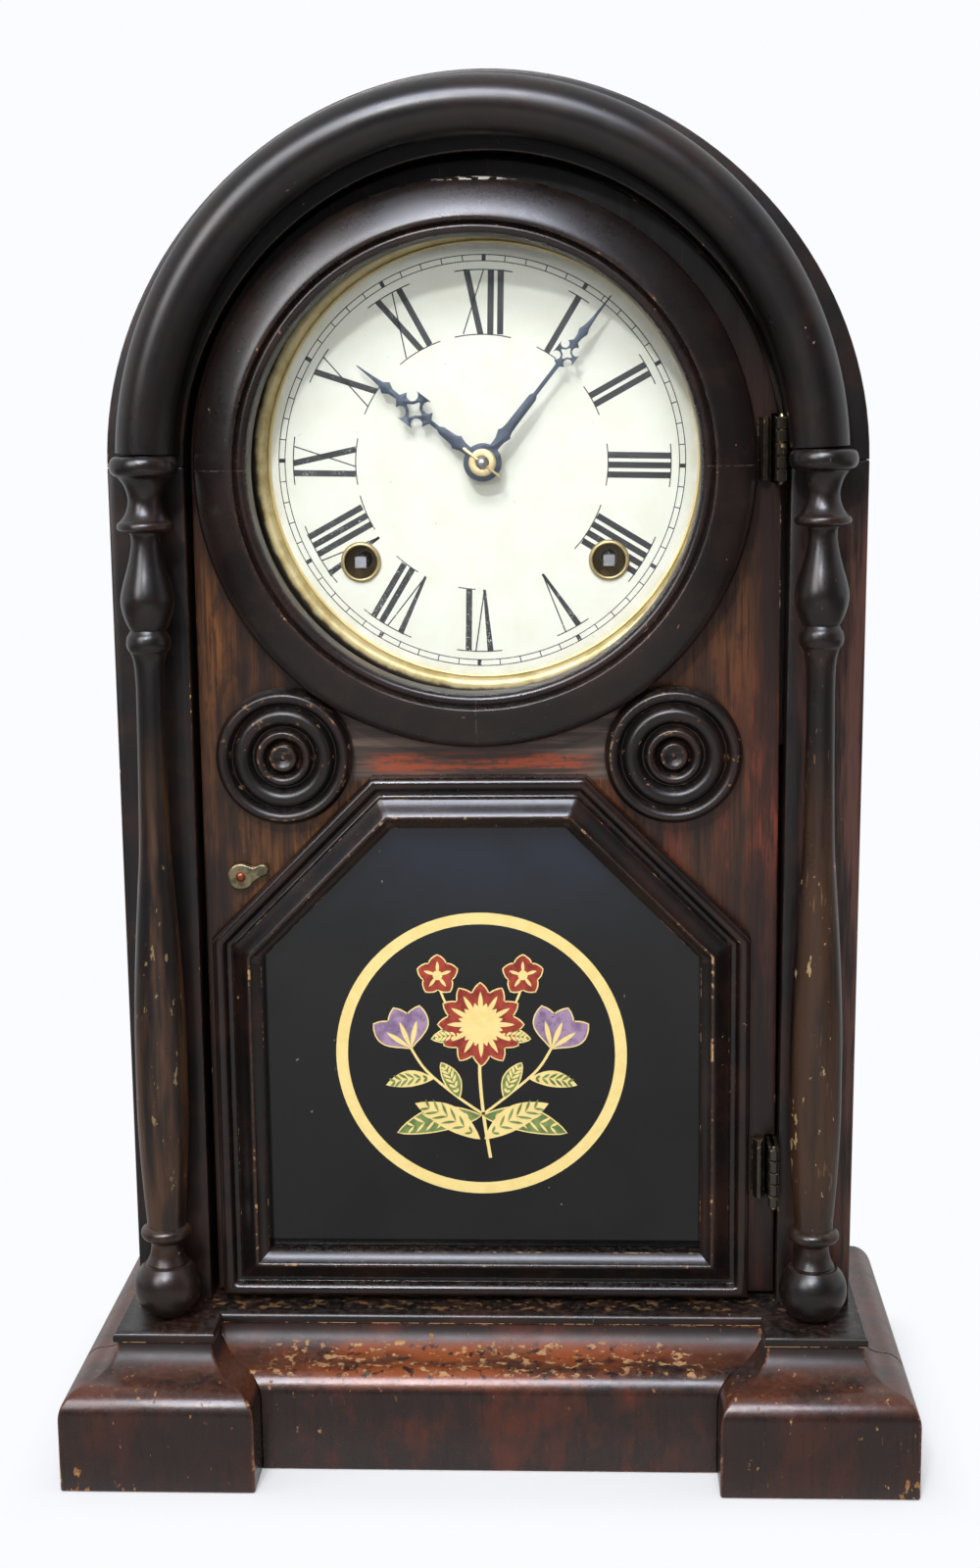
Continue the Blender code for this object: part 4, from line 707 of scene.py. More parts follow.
# %% Plinth veneer
def plinth_finish():
    made, tree = blank_material("plinth_veneer_worn")
    spot = place_in(tree)
    x, y, z = axes(spot).values()
    across = abs(x)
    middle = between(across, 0.078, 0.03)
    stains = between(cloud(place_in(tree, (1.0, 1.0, 0.6), (0.2, 0.1, 0.3)), 46.0, 7.0, 0.7), 0.45, 0.66)
    redder = stains * (middle * 0.45 + 0.3)
    base = blend(redder, "#271b18", "#5a2818")
    fibres = cloud(place_in(tree, (1.0, 1.0, 0.06)), 1100.0, 3.0, 0.6)
    base = blend(between(fibres, 0.5, 0.72) * 0.4, base, "#0f0a09")
    patches = cloud(place_in(tree, (0.45, 1.0, 1.0), (0.4, 0.1, 0.7)), 60.0, 5.0, 0.65)
    band = stays_within(z, 0.0282, 0.0322, 0.0034)
    glow = band * (middle * 0.75 + 0.25) * between(patches, 0.36, 0.58)
    base = blend(glow * 0.95, base, "#8e451c")
    flakes = cloud(place_in(tree, (0.75, 1.0, 1.0), (1.3, 0.4, 0.2)), 430.0, 4.0, 0.55)
    chip_line = stays_within(z, 0.0296, 0.0335, 0.0012) * between(across, 0.074, 0.058)
    chip_line = chip_line * between(patches, 0.34, 0.46)
    chipped = between(flakes, 0.57, 0.6) * chip_line
    nicks = cloud(place_in(tree, (1.0, 1.0, 0.45), (5.1, 0.7, 2.2)), 420.0, 4.0, 0.6)
    corner = between(z, 0.011, 0.002) * between(across, 0.112, 0.124)
    corner = corner * between(y, -0.044, -0.057)
    nicks = nicks + corner * 0.14 + band * 0.035
    chipped = most(chipped, between(nicks, 0.685, 0.71))
    worn = use(tree, worn_edges, Amount=0.6)
    base = blend(worn["Rubbed"] * 0.5, base, "#6e351c")
    chipped = most(chipped, worn["Bare"])
    tan = blend(between(flakes, 0.45, 0.7), "#8a5c34", "#b98f60")
    base = blend(chipped, base, tan)
    scratched = use(tree, scratches, Amount=0.16)["Scratch"]
    base = blend(scratched * 0.5, base, "#86542f")
    pits = cloud(place_in(tree, (0.75, 1.0, 1.0), (0.1, 2.4, 0.9)), 420.0, 4.0, 0.55)
    pits = between(pits, 0.59, 0.62) * (band * middle)
    base = blend(pits * 0.9, base, "#0d0908")
    lying = use(tree, dust, Amount=0.25)["Dust"]
    base = blend(lying, base, "#6a5646")
    dull = most(chipped, most(scratched, lying))
    gloss = 0.14 + cloud(spot, 160.0, 5.0, 0.7) * 0.26 + between(z, 0.03, 0.0335) * 0.22
    gloss = capped_sum(gloss, dull * 0.35)
    relief = bumped(cloud(spot, 330.0, 4.0, 0.6) - dull, 0.08, 0.6)
    return principled(made, {"Base Color": base, "Roughness": gloss, "Normal": relief})


PLINTH = plinth_finish()

# %% [markdown]
# The door is rosewood with upright grain. Grain is noise squeezed along one axis: the squeeze makes streaks, and
# several widths of streak laid over one another look like wood. Painted shade darkens it under the arch, beside the
# columns and low down at its sides, and the bridge under the dial is grey-brown with a red streak, both made lighter
# as painted light where the bezel shades it.


# %% Rosewood and pine
def rosewood():
    made, tree = blank_material("rosewood_door")
    x, _, z = axes(place_in(tree)).values()
    across = abs(x + 0.002)
    bridge = stays_within(z, 0.2075, 0.24, 0.002) * between(across, 0.05, 0.044)
    upright = cloud(place_in(tree, (1.0, 1.0, 0.045)), 330.0, 5.0, 0.62)
    broad = cloud(place_in(tree, (1.0, 1.0, 0.12), (0.5, 0.0, 0.2)), 95.0, 3.0, 0.5)
    streak = between(upright * 0.55 + broad * 0.75, 0.5, 0.82)
    wood = blend(streak, "#805028", "#28160c")
    stained = between(cloud(place_in(tree, (1.0, 1.0, 0.4), (0.2, 0.0, 1.3)), 55.0, 4.0, 0.6), 0.46, 0.66)
    wood = blend(stained * 0.75, wood, "#1c0f0a")
    grain = between(cloud(place_in(tree, (1.0, 1.0, 0.07), (2.1, 0.0, 0.4)), 950.0, 4.0, 0.65), 0.44, 0.62)
    wood = blend(grain * 0.55, wood, "#20120a")
    blotch = between(cloud(place_in(tree, (1.0, 1.0, 0.3), (0.7, 0.0, 2.2)), 170.0, 5.0, 0.68), 0.52, 0.62)
    wood = blend(blotch * 0.6, wood, "#1a0f0a")
    # Painted shade: the door darkens under the arch, from 238 mm up, and beside the columns. Its right half is a
    # little darker too.
    sides = most(between(z, 0.238, 0.29), between(across, 0.076, 0.086))
    sides = most(sides, between(x, 0.0, 0.06) * 0.4)
    wood = blend(sides * 0.9, wood, "#180d0a")
    # Painted shade low down at the door's two sides, beside the columns.
    painted_shade_low_sides = between(across, 0.064, 0.078) * between(z, 0.195, 0.168)
    right_half = between(x, 0.03, 0.06)
    wood = blend(right_half * 0.35, wood, "#2e1b17")
    red_side = between(x, 0.02, 0.07) * between(broad, 0.58, 0.44)
    red_side = red_side * between(z, 0.26, 0.2)
    ruddy = between(cloud(place_in(tree, (1.0, 1.0, 0.12), (1.4, 0.0, 0.8)), 420.0, 5.0, 0.66), 0.46, 0.62)
    red_side = red_side * (ruddy * 0.8 + 0.2)
    wood = blend(red_side * 0.75, wood, "#7e3a26")
    wood = blend(painted_shade_low_sides * 0.75, wood, "#170e0b")
    # Painted shade: the recess under the arch goes near black, from 312 mm up and fully from 362 mm.
    wood = blend(between(z, 0.312, 0.362), wood, "#060403")
    pores = between(cloud(place_in(tree, (1.0, 1.0, 0.02)), 1500.0, 2.0, 0.5), 0.58, 0.66)
    wood = blend(pores * 0.6, wood, "#1c0d07")
    # The bridge under the dial is grey-brown with a red streak, both made lighter as painted light where the bezel's
    # shadow falls.
    level = cloud(place_in(tree, (0.06, 1.0, 1.0)), 420.0, 4.0, 0.6)
    bridge_grey_painted_light = blend(between(level, 0.42, 0.64), "#443832", "#6a584e")
    ragged = z + (level - 0.5) * 0.006
    streaked = stays_within(ragged, 0.2098, 0.2134, 0.0014) * between(level, 0.34, 0.5)
    streaked = streaked * between(across, 0.037, 0.027)
    grit = cloud(place_in(tree, (0.35, 1.0, 1.0), (0.3, 0.0, 0.9)), 800.0, 5.0, 0.7)
    streaked = streaked * between(grit, 0.36, 0.52)
    bridge_grey_painted_light = blend(streaked * 0.95, bridge_grey_painted_light, "#9c4628")
    base = blend(bridge, wood, bridge_grey_painted_light)
    worn = use(tree, worn_edges, Amount=0.5)
    base = blend(worn["Bare"], base, "#a87c50")
    lying = use(tree, dust, Amount=0.3)["Dust"]
    base = blend(lying, base, "#9a8468")
    gloss = 0.24 + upright * 0.16
    relief = bumped(upright - pores * 0.6, 0.04, 0.5)
    return principled(made, {"Base Color": base, "Roughness": gloss, "Normal": relief})


def pine(name, light="#b98d5c", dark="#7f5734"):
    made, tree = blank_material(name)
    rings = cloud(place_in(tree, (1.0, 1.0, 0.05)), 240.0, 5.0, 0.6, 0.4)
    base = blend(between(rings, 0.38, 0.66), light, dark)
    stain = between(cloud(place_in(tree), 22.0, 4.0, 0.6), 0.45, 0.72)
    base = blend(stain * 0.55, base, "#5a3a24")
    base = blend(use(tree, dust, Amount=0.4)["Dust"], base, "#8d8375")
    return principled(made, {"Base Color": base, "Roughness": 0.68, "Normal": bumped(rings, 0.08, 0.6)})


ROSEWOOD = rosewood()
PINE = pine("old_pine")
PINE_BACK = pine("back_pine", "#a47a4e", "#6d482a")

# %% [markdown]
# ## Paint and ink
# The dial is zinc sheet painted cream, stained towards its edge. Outside its painted circle the bare metal is made
# near black as painted shade inside the case. Its printed figures have worn to speckles, more so at the lower left.
# Both recipes measure from the dial's centre, so that the wear lies where it does on the real sheet.


# %% Dial paint and ink
def away_from(spot, centre):
    return Measure(node(spot.id_data, "VectorMath", {0: spot, 1: centre}, operation="DISTANCE").outputs["Value"])


def dial_paint():
    made, tree = blank_material("dial_cream")
    spot = place_in(tree)
    radius = away_from(spot, at(0, 60, ARCH_Z))
    mottle = cloud(spot, 90.0, 4.0, 0.6)
    base = blend(between(mottle, 0.4, 0.7), "#eff1e4", "#eaecdb")
    edge_stain = between(radius, 0.0605, 0.0645) * between(mottle, 0.36, 0.6)
    base = blend(edge_stain * 0.45, base, "#d9d2b0")
    specks = use(tree, flecks, Share=0.05, Size=0.12, Scale=300.0)["Fleck"]
    base = blend(specks * 0.3, base, "#a89a78")
    # Outside the painted circle the sheet is bare metal, made near black as painted shade inside the case.
    base = blend(between(radius, 0.0692, 0.0696), base, "#2b2521")
    return principled(made, {"Base Color": base, "Roughness": 0.46})


def dial_ink():
    made, tree = blank_material("dial_ink")
    spot = place_in(tree)
    x, _, z = axes(spot).values()
    low = ARCH_Z * MM - z
    tired = between(low + x * -0.6, -0.055, 0.075)
    grains = cloud(spot, 2300.0, 3.0, 0.7)
    blotch = cloud(spot, 240.0, 3.0, 0.6)
    lost = grains * 1.0 + blotch * 0.45 + tired * 0.13
    base = blend(between(lost, 0.94, 1.03), "#0d0d10", "#c9cabf")
    return principled(made, {"Base Color": base, "Roughness": 0.5})


DIAL_CREAM = dial_paint()
DIAL_INK = dial_ink()

# %% [markdown]
# ## Metals
# Metal is bright where it is touched and dark in its hollows, so one recipe mixes two colours by a cloud and by the
# mesh's hollow number. The hands are blued steel and the movement is brass, with its front plate darkened as painted
# shade. The ring and grommets have gone pale and dull, and carry painted shade under the bezel and inside the holes,
# the hinges are brass under worn black lacquer, and the latch has turned green, so each of these has a short recipe
# of its own.

# %% Metals
LATCH_X, LATCH_Z = -74.5, 177.155


def metal(name, bright, dark, rough=0.32, metallic=1.0, spotted=0.35, scale=70.0):
    made, tree = blank_material(name)
    spot = place_in(tree)
    patina = between(cloud(spot, scale, 5.0, 0.65), 0.4, 0.66)
    hollow = stored(tree, "hollow")
    patina = most(patina * spotted, hollow * 0.8)
    base = blend(patina, bright, dark)
    gloss = rough + patina * 0.22
    relief = bumped(cloud(spot, 1200.0, 3.0, 0.6), 0.01, 0.4)
    return principled(made, {"Base Color": base, "Metallic": metallic, "Roughness": gloss, "Normal": relief})


def sight_ring_brass():
    """Brass that has gone pale and dull, with a pale yellow beaded lip and painted shade on its outer part, under the
    bezel.
    """
    made, tree = blank_material("sight_ring_brass")
    spot = place_in(tree)
    radius = away_from(spot, at(0, 58.5, ARCH_Z))
    stain = cloud(spot, 130.0, 5.0, 0.65)
    base = blend(between(stain, 0.42, 0.66), "#c2b384", "#a5935c")
    # Painted shade: from about 67 mm out, under the bezel's overhang, the ring goes dark.
    outer = radius + (stain - 0.5) * 0.0025
    base = blend(between(outer, 0.0672, 0.0684), base, "#2a2216")
    lip = stays_within(radius, 0.0637, 0.0645, 0.0001)
    base = blend(lip * 0.85, base, "#d8c384")
    return principled(made, {"Base Color": base, "Metallic": 0.35, "Roughness": 0.45})


def eyelet_brass():
    """Pale brass on the face, and a painted near-black shade inside the hole."""
    made, tree = blank_material("eyelet_brass")
    spot = place_in(tree)
    depth = axes(spot)["Y"]
    base = blend(cloud(spot, 260.0, 4.0, 0.6), "#c9b98a", "#8f7b4c")
    # Painted shade: behind the dial's face, the inside of the hole goes near black.
    base = blend(between(depth, at(0, 59.2, 0).y, at(0, 60.0, 0).y), base, "#1b1a1a")
    return principled(made, {"Base Color": base, "Metallic": 0.6, "Roughness": 0.36})


def lacquered():
    made, tree = blank_material("black_lacquer")
    worn = use(tree, worn_edges, Amount=0.66)
    fleck = use(tree, flecks, Share=0.2, Size=0.28, Scale=420.0)["Fleck"]
    bare = most(worn["Bare"], fleck)
    base = blend(worn["Rubbed"] * 0.4, "#191614", "#5a4830")
    base = blend(bare, base, "#cdb27a")
    gloss = 0.16 + bare * 0.2
    return principled(made, {"Base Color": base, "Metallic": bare, "Roughness": gloss, "Coat Weight": 0.5})


def latch_brass():
    made, tree = blank_material("tarnished_latch")
    spot = place_in(tree)
    radius = away_from(spot, at(LATCH_X, 44.6, LATCH_Z))
    green = between(cloud(spot, 420.0, 4.0, 0.6), 0.42, 0.62)
    base = blend(green, "#8f8262", "#5f5a46")
    base = blend(between(radius, 0.0017, 0.0014), base, "#8e4a30")
    return principled(made, {"Base Color": base, "Metallic": 0.75, "Roughness": 0.36})


BRASS = metal("movement_brass", "#c9a865", "#8a6a34")
PALE_BRASS = metal("pale_brass", "#d9c99c", "#a8915a", rough=0.38, metallic=0.7, spotted=0.6, scale=160.0)
RIM_BRASS = sight_ring_brass()
EYELET_BRASS = eyelet_brass()
# The movement's front plate, seen through the winding holes, is brass darkened as painted shade.
PLATE_BRASS_IN_PAINTED_SHADE = metal("plate_brass_in_painted_shade", "#6b5a38", "#3a2f1e", rough=0.5, metallic=0.6)
STEEL = metal("bright_steel", "#a9abae", "#77787a", rough=0.28)
BLUED = metal("blued_hands", "#434b57", "#2f3640", rough=0.34, metallic=0.5, spotted=0.6, scale=160.0)
DARK_STEEL = metal("blackened_steel", "#3a3b3e", "#241f1c", rough=0.42, metallic=0.8)
LACQUER = lacquered()
LATCH = latch_brass()

# %% [markdown]
# ## Glass and tablet colours
# The upper glass is clear. The lower one is painted black behind, so it is made as one dark, slightly wavy plate
# with a painted bluish reflection near its top. The gilt and the colours of the spray have flaked a little, which is
# noise cut off at a level.


# %% Glass and tablet colours
def clear_glass():
    made, tree = blank_material("clear_dial_glass")
    looks = {"Base Color": colour(1, 1, 1), "Roughness": 0.0, "IOR": 1.45, "Transmission Weight": 1.0}
    return principled(made, looks)


def black_glass():
    made, tree = blank_material("black_tablet_glass")
    spot = place_in(tree)
    height = axes(spot)["Z"]
    smoke = between(cloud(spot, 30.0, 3.0, 0.5), 0.36, 0.65)
    # Painted reflection: a bluish sheen over the top of the tablet.
    blue = between(height, 0.155, 0.185) * (smoke * 0.6 + 0.4)
    base = blend(smoke * 0.6, "#070708", "#131313")
    base = blend(blue, base, "#171d2a")
    specks = use(tree, flecks, Share=0.05, Size=0.10, Scale=260.0)["Fleck"]
    base = blend(specks * 0.5, base, "#8c8f96")
    waves = cloud(place_in(tree, (1.0, 1.0, 0.5)), 26.0, 2.0, 0.5)
    return principled(made, {"Base Color": base, "Roughness": 0.09, "Normal": bumped(waves, 0.12, 0.3)})


def tablet_colour(name, first, second, loss=0.72):
    made, tree = blank_material(name)
    spot = place_in(tree)
    patchy = between(cloud(spot, 300.0, 4.0, 0.6), 0.4, 0.66)
    base = blend(patchy, first, second)
    lost = between(cloud(spot, 1100.0, 3.0, 0.6), loss - 0.06, loss)
    base = blend(lost, base, "#1a1c22")
    return principled(made, {"Base Color": base, "Roughness": 0.35})


GLASS = clear_glass()
TABLET_BLACK = black_glass()
GILT = tablet_colour("gilt", "#f4dc93", "#efd588", 0.9)
RED = tablet_colour("tablet_red", "#a8402f", "#82281f")
LILAC = tablet_colour("tablet_lilac", "#a58aa6", "#7d6486")
GREEN = tablet_colour("tablet_green", "#7f9455", "#5b7440")

# %% [markdown]
# ## The base
# Each foot block is a square block with the shoulder and cove run round it. Seen from above it is a ring of points
# that shrinks as the profile climbs, so lofting those rings makes the moulding and its mitres in one go. The front
# panel between the blocks and the side mouldings take the same profile, set further back.

# %% Base
SIDES = ((-1, "left"), (1, "right"))
BASE_HALF, FOOT_INNER, FOOT_D, PANEL_BACK = 127.1, 68.7, 34.0, 15.5
BASE_H, MOULDING_INNER, STEP_BACK, COVE_DEPTH = 39.0, 97.1, 7.0, 1.46
rise = [(0.6, 0.0), (0.15, 0.15), (0.0, 0.6), (0.0, 4.0), (0.0, 12.0)]
rise += arc(7.0, 22.0, 7.0, 180, 90, 12, ry=8.6) + arc(7.0, 38.4, 7.8, -90, 0, 12)[1:] + [(14.8, BASE_H)]


def set_back(s):
    """The cove runs deeper on the front than on the sides."""
    return s if s < STEP_BACK else STEP_BACK + (s - STEP_BACK) * COVE_DEPTH


def foot_ring(side, s, z):
    low, high, front = FOOT_INNER + s, BASE_HALF - s, set_back(s)
    corners = eased([(low, front), (high, front), (high, FOOT_D), (low, FOOT_D)], 0.9, closed=True)
    return [at(side * x, depth, z) for x, depth in corners]


for side, name in SIDES:
    block = loft([foot_ring(side, s, z) for s, z in rise])
    keep(f"moulded_foot_{name}", block, PLINTH, "case", [f"foot_block_{name}"])
    section = [(MOULDING_INNER, 0.0)] + [(BASE_HALF - s, z) for s, z in rise] + [(MOULDING_INNER, BASE_H)]
    rings = [[at(side * x, depth, z) for x, z in section] for depth in (34.3, 35.0, 120.0, BASE_D)]
    keep(f"side_moulding_{name}", loft(rings), PLINTH, "case", [f"plinth_side_{name}"])

rings = []
for s, z in rise:
    half, face, rear = FOOT_INNER + s - 0.3, PANEL_BACK + set_back(s), FOOT_D + 0.6
    places = [(-half, face), (-half + 2, face), (half - 2, face), (half, face), (half, rear), (-half, rear)]
    rings.append([at(x, depth, z) for x, depth in places])
keep("front_panel", loft(rings), PLINTH, "case", ["plinth_front"])
rail = planed_block(at(-96.8, 113.2, 0.0), at(96.8, BASE_D, BASE_H))
keep("back_rail", rail, PINE_BACK, "case", ["plinth_back"])


def ledge_ring(inset, z):
    out, neck, tip, middle = 113.3 - inset, 82.5 + inset, 17.4 + inset, 32.9 + inset
    half = [(neck, middle), (neck, tip), (out, tip), (out, BASE_D)]
    return [at(x, depth, z) for x, depth in half + [(-x, depth) for x, depth in reversed(half)]]


ledge = [(0.6, 39.3), (0.1, 39.5), (0.0, 40.0), (0.0, 41.2), (0.25, 41.9), (0.8, 42.4), (1.6, 42.7), (3.6, 42.7)]
top_board = loft([ledge_ring(inset, z) for inset, z in ledge])
keep("ledge_board", top_board, BLACK_LEDGE, "case", ["plinth_top"])
print("base is", 2 * BASE_HALF, "mm wide over", len(rise), "profile points")

# %% [markdown]
# ## The case
# Two uprights and an arched head make the front frame, with thin boards behind them bent and glued into a hood.
# They are planed boards, so eased blocks and swept arcs are enough. The half-round moulding on the arch would be
# bent from one steamed strip, and a half circle swept along the arch gives it.


# %% Case
CASE_HALF, FRAME_INNER, FRAME_FRONT, FRAME_BACK = 111.0, 88.5, 42.5, 56.5
HOOD_INNER, HOOD_OUTER, HOOD_FRONT, HOOD_BACK = 101.0, 109.0, 56.8, 112.9
CASE_FOOT, POST_TOP = 42.8, 300.35
LEFT_MOVED, RIGHT_MOVED, RIGHT_LEAN = 1.3, -0.8, 2.15
FLATTENED = {"rise": -0.5, "flat": 0.9}  # the bent boards have sunk a little at the shoulders


def arc_sweep(section, start=0.0, end=180.0, steps=72, rise=0.0, flat=0.0):
    """Carries (radius, depth) points round the arch: rise lifts the top, and flat draws in the shoulders."""
    rings = []
    for i in range(steps + 1):
        a = math.radians(start + (end - start) * i / steps)
        lift = rise * math.sin(a) ** 2 - flat * math.sin(2 * a) ** 2
        c, s = math.cos(a), math.sin(a)
        rings.append([at((r + lift) * c, depth, ARCH_Z + (r + lift) * s) for r, depth in section])
    return loft(rings)


def boxed(inner, outer, front, back, easing):
    return eased([(inner, front), (outer, front), (outer, back), (inner, back)], easing, closed=True)


def settled(shape):
    """An old case leans: its head has moved a little to the right of its foot."""
    for vertex in shape.verts:
        climb = min(max((vertex.co.z / MM - 43.0) / 257.0, 0.0), 1.0)
        share = (vertex.co.x / MM + CASE_HALF) / (2 * CASE_HALF)
        vertex.co.x += (LEFT_MOVED * (1 - share) + (RIGHT_LEAN * climb + RIGHT_MOVED) * share) * MM
    return shape


for side, name in SIDES:
    post = planed_block(at(side * FRAME_INNER, FRAME_FRONT, CASE_FOOT), at(side * CASE_HALF, FRAME_BACK, POST_TOP))
    keep(f"front_post_{name}", settled(post), BLACK_FRAME, "case", [f"stile_{name}"])
    board = planed_block(at(side * HOOD_INNER, HOOD_FRONT, CASE_FOOT), at(side * HOOD_OUTER, HOOD_BACK, POST_TOP))
    keep(f"case_side_{name}", settled(board), BLACK_HOOD, "case", [f"side_board_{name}"])
head = arc_sweep(boxed(FRAME_INNER, CASE_HALF, FRAME_FRONT, FRAME_BACK, 0.6), **FLATTENED)
keep("arched_head", settled(head), BLACK_FRAME, "case", ["arch_frame"])
hood = arc_sweep(boxed(HOOD_INNER, HOOD_OUTER, HOOD_FRONT, HOOD_BACK, 0.6), **FLATTENED)
keep("bent_hood", settled(hood), BLACK_HOOD, "case", ["arch_top"])
half_round = [(105.2, 42.2)] + [(96.8 + x, 32.2 - y) for x, y in arc(0, 0, 8.4, 0, 180, 28)] + [(88.4, 42.2)]
moulding = arc_sweep(half_round, 2.43, 177.57, 96, 2.6)
bmesh.ops.translate(moulding, vec=(0.35 * MM, 0, 0), verts=moulding.verts)
keep("half_round_arch", moulding, BLACK_ARCH, "case", ["arch_moulding"])


def arched(half, foot, springing):
    return [(-half, foot), (half, foot)] + arc(0, springing, half, 0, 180, 48)


back = slab([arched(HOOD_OUTER, CASE_FOOT, ARCH_Z)], 113.2, 7.8, 0.5, 3.0)
keep("back_boarding", settled(back), PINE_BACK, "case", ["back_board"])
print("case is", 2 * CASE_HALF, "mm wide and", ARCH_Z + CASE_HALF, "mm high")

# %% [markdown]
# ## Turned columns
# A turner cuts a column from one length of wood: ball, ring, long swelling shaft, collar, vase, skirt and capital
# ring. The profile is written from top to foot as smooth runs between the sharp changes, which the turner would cut
# with the corner of a chisel. Swinging it round the axis gives the column.


# %% Columns
COLUMN_X, COLUMN_DEPTH, COLUMN_LEAN = 98.0, 31.0, 2.0  # the left column leans by this much over its length


def bead(z, reach, root, half):
    return [(root + (reach - root) * math.cos(a), z + half * math.sin(a))
            for a in [math.radians(80 - 20 * i) for i in range(9)]]


column = [(0.0, 304.0)]
column += flowing([(8.0, 304.0), (9.1, 303.4), (9.7, 302.2), (9.85, 300.9), (9.6, 299.6), (8.8, 298.6),
                   (7.8, 298.1)], 3)
column += flowing([(7.2, 297.5), (6.1, 296.0), (5.3, 294.0), (4.85, 291.9), (5.0, 289.8), (5.7, 287.6),
                   (6.9, 285.8), (7.9, 284.9)], 3)
column += [(8.2, 284.2), (8.2, 283.4), (7.7, 282.8), (6.5, 282.4), (4.8, 282.1)]
column += flowing([(4.35, 281.4), (4.25, 280.0), (4.35, 278.2), (4.8, 275.4), (5.7, 271.6), (6.8, 267.8),
                   (7.6, 264.4), (7.8, 262.0), (7.4, 259.2), (6.5, 256.4), (5.7, 254.6), (5.2, 253.8)], 4)
column += flowing([(5.6, 253.0), (6.2, 252.0), (6.5, 250.4), (6.45, 249.2), (6.0, 248.0), (5.5, 247.4)], 3)
column += flowing([(5.2, 246.6), (4.6, 244.4), (4.25, 240.0), (4.15, 230.0), (4.6, 193.0), (5.4, 178.0),
                   (6.4, 163.0), (7.25, 147.0), (7.7, 132.0), (7.75, 118.0), (7.6, 103.0), (6.8, 87.0),
                   (5.8, 73.6)], 6)
column += bead(69.8, 7.7, 5.4, 2.2)
column += flowing([(4.9, 66.8), (4.7, 65.4), (5.2, 62.6), (6.3, 60.2)], 4) + [(6.2, 59.8), (6.7, 59.5)]
column += arc(0.0, 52.4, 10.2, 44, -70, 18) + [(3.4, 42.8), (0.0, 42.8)]
for side, name in SIDES:
    turning = lathe(column, at(side * COLUMN_X, COLUMN_DEPTH, 0.0), 72, "up")
    if side < 0:
        for vertex in turning.verts:
            vertex.co.x += (COLUMN_LEAN * (vertex.co.z / MM - 52.0) / 249.0 - 0.6) * MM
    keep(f"turned_column_{name}", turning, BLACK_TURNED[name], "case", [f"column_{name}"])
print("columns have", len(column), "profile points from", column[0][1], "down to", column[-1][1], "mm")

# %% [markdown]
# ## The door, its bezel and rosettes
# The door is one veneered board with an arched top, a round window for the dial and a window for the tablet. The
# bezel was turned on a faceplate and glued on, and the rosettes are turned buttons with sharp ridges. A flat
# outline with holes makes the board, and profiles swung round an axis make the turnings.

# %% Door board
TRIM_X, DOOR_FACE = -2.0, 48.0
DOOR_RIGHT, DOOR_FOOT, LEAF_NOTCH, NOTCH_GAP = 87.6, 44.3, 84.5, 0.6
HINGE_FEET, HINGE_H = (76.0, 294.5), 18.6
TABLET_HALF, TABLET_FOOT, TABLET_TOP, TABLET_CUT = 81.3, 44.9, 208.0, 240.07


def tablet_outline(inset):
    """The six corners of the tablet's frame, drawn in from its outer edge."""
    half, foot, top = TABLET_HALF - inset, TABLET_FOOT + inset, TABLET_TOP - inset
    corner = TABLET_CUT - math.sqrt(2) * inset
    points = [(half, foot), (half, corner - half), (corner - top, top)]
    return points + [(-x, z) for x, z in reversed(points)]


light = [(TRIM_X + x, z) for x, z in reversed(tablet_outline(12.1))]
window = hole(TRIM_X, ARCH_Z - 0.6, 69.4, 96)
shaft_hole = hole(LATCH_X, LATCH_Z, 1.85, 20)
edge = [(-86.0, DOOR_FOOT), (DOOR_RIGHT, DOOR_FOOT)]
for foot in HINGE_FEET:
    low, high = foot - NOTCH_GAP, foot + HINGE_H + NOTCH_GAP
    edge += [(DOOR_RIGHT, low), (LEAF_NOTCH, low), (LEAF_NOTCH, high), (DOOR_RIGHT, high)]
edge = edge[:-1] + arc(0.8, 300.0, 86.8, 9.1, 180, 48)
board = slab([edge, window, light, shaft_hole], DOOR_FACE, 8.0, 0.4, 1.2)
keep("veneered_door", board, ROSEWOOD, "door", ["door_board"])

print("door board has", len(edge), "corner points and", len(HINGE_FEET), "hinge notches")

# %% [markdown]
# The bezel's profile is a broad slope outside, a narrow groove and a bead inside. Its inner side gets a second
# material, because the polish there is rubbed away. A rosette is a button with three ridges round a small dome.

# %% Bezel and rosettes
bezel = flowing([(69.7, 13.6), (70.3, 14.3), (72.4, 13.8), (76.0, 12.2), (79.4, 10.3), (81.2, 8.9)], 5)
bezel += [(81.9, 7.8), (82.1, 6.9), (82.1, 0.3), (71.5, 0.3), (71.5, 2.6), (65.7, 2.6)]
bezel += flowing([(65.7, 9.4), (65.9, 10.8), (66.6, 11.9), (67.6, 12.3), (68.5, 12.1), (69.0, 11.5)], 4)
bezel += [(69.25, 11.4), (69.5, 12.8)]
BEZEL_Z, REVEAL_R = ARCH_Z - 1.2, 65.9
ring = lathe(bezel, at(TRIM_X, DOOR_FACE, BEZEL_Z), 180, ring=True)
turned_bezel = keep("turned_bezel", ring, BLACK_BEZEL, "door", ["bezel_ring"])
turned_bezel.data.materials.append(RUBBED_REVEAL)
for face in turned_bezel.data.polygons:
    away = math.hypot(face.center.x / MM - TRIM_X, face.center.z / MM - BEZEL_Z)
    face.material_index = 1 if away < REVEAL_R else 0


def ridge(middle, half, base, height):
    """A sharp ridge on a turned button, leaning a little outward."""
    shape = [(-half, 0.0), (-0.5 * half, 0.8), (0.35, 1.0), (0.6 * half, 0.75), (half, 0.0)]
    return flowing([(middle + out, base + share * height) for out, share in shape], 4)


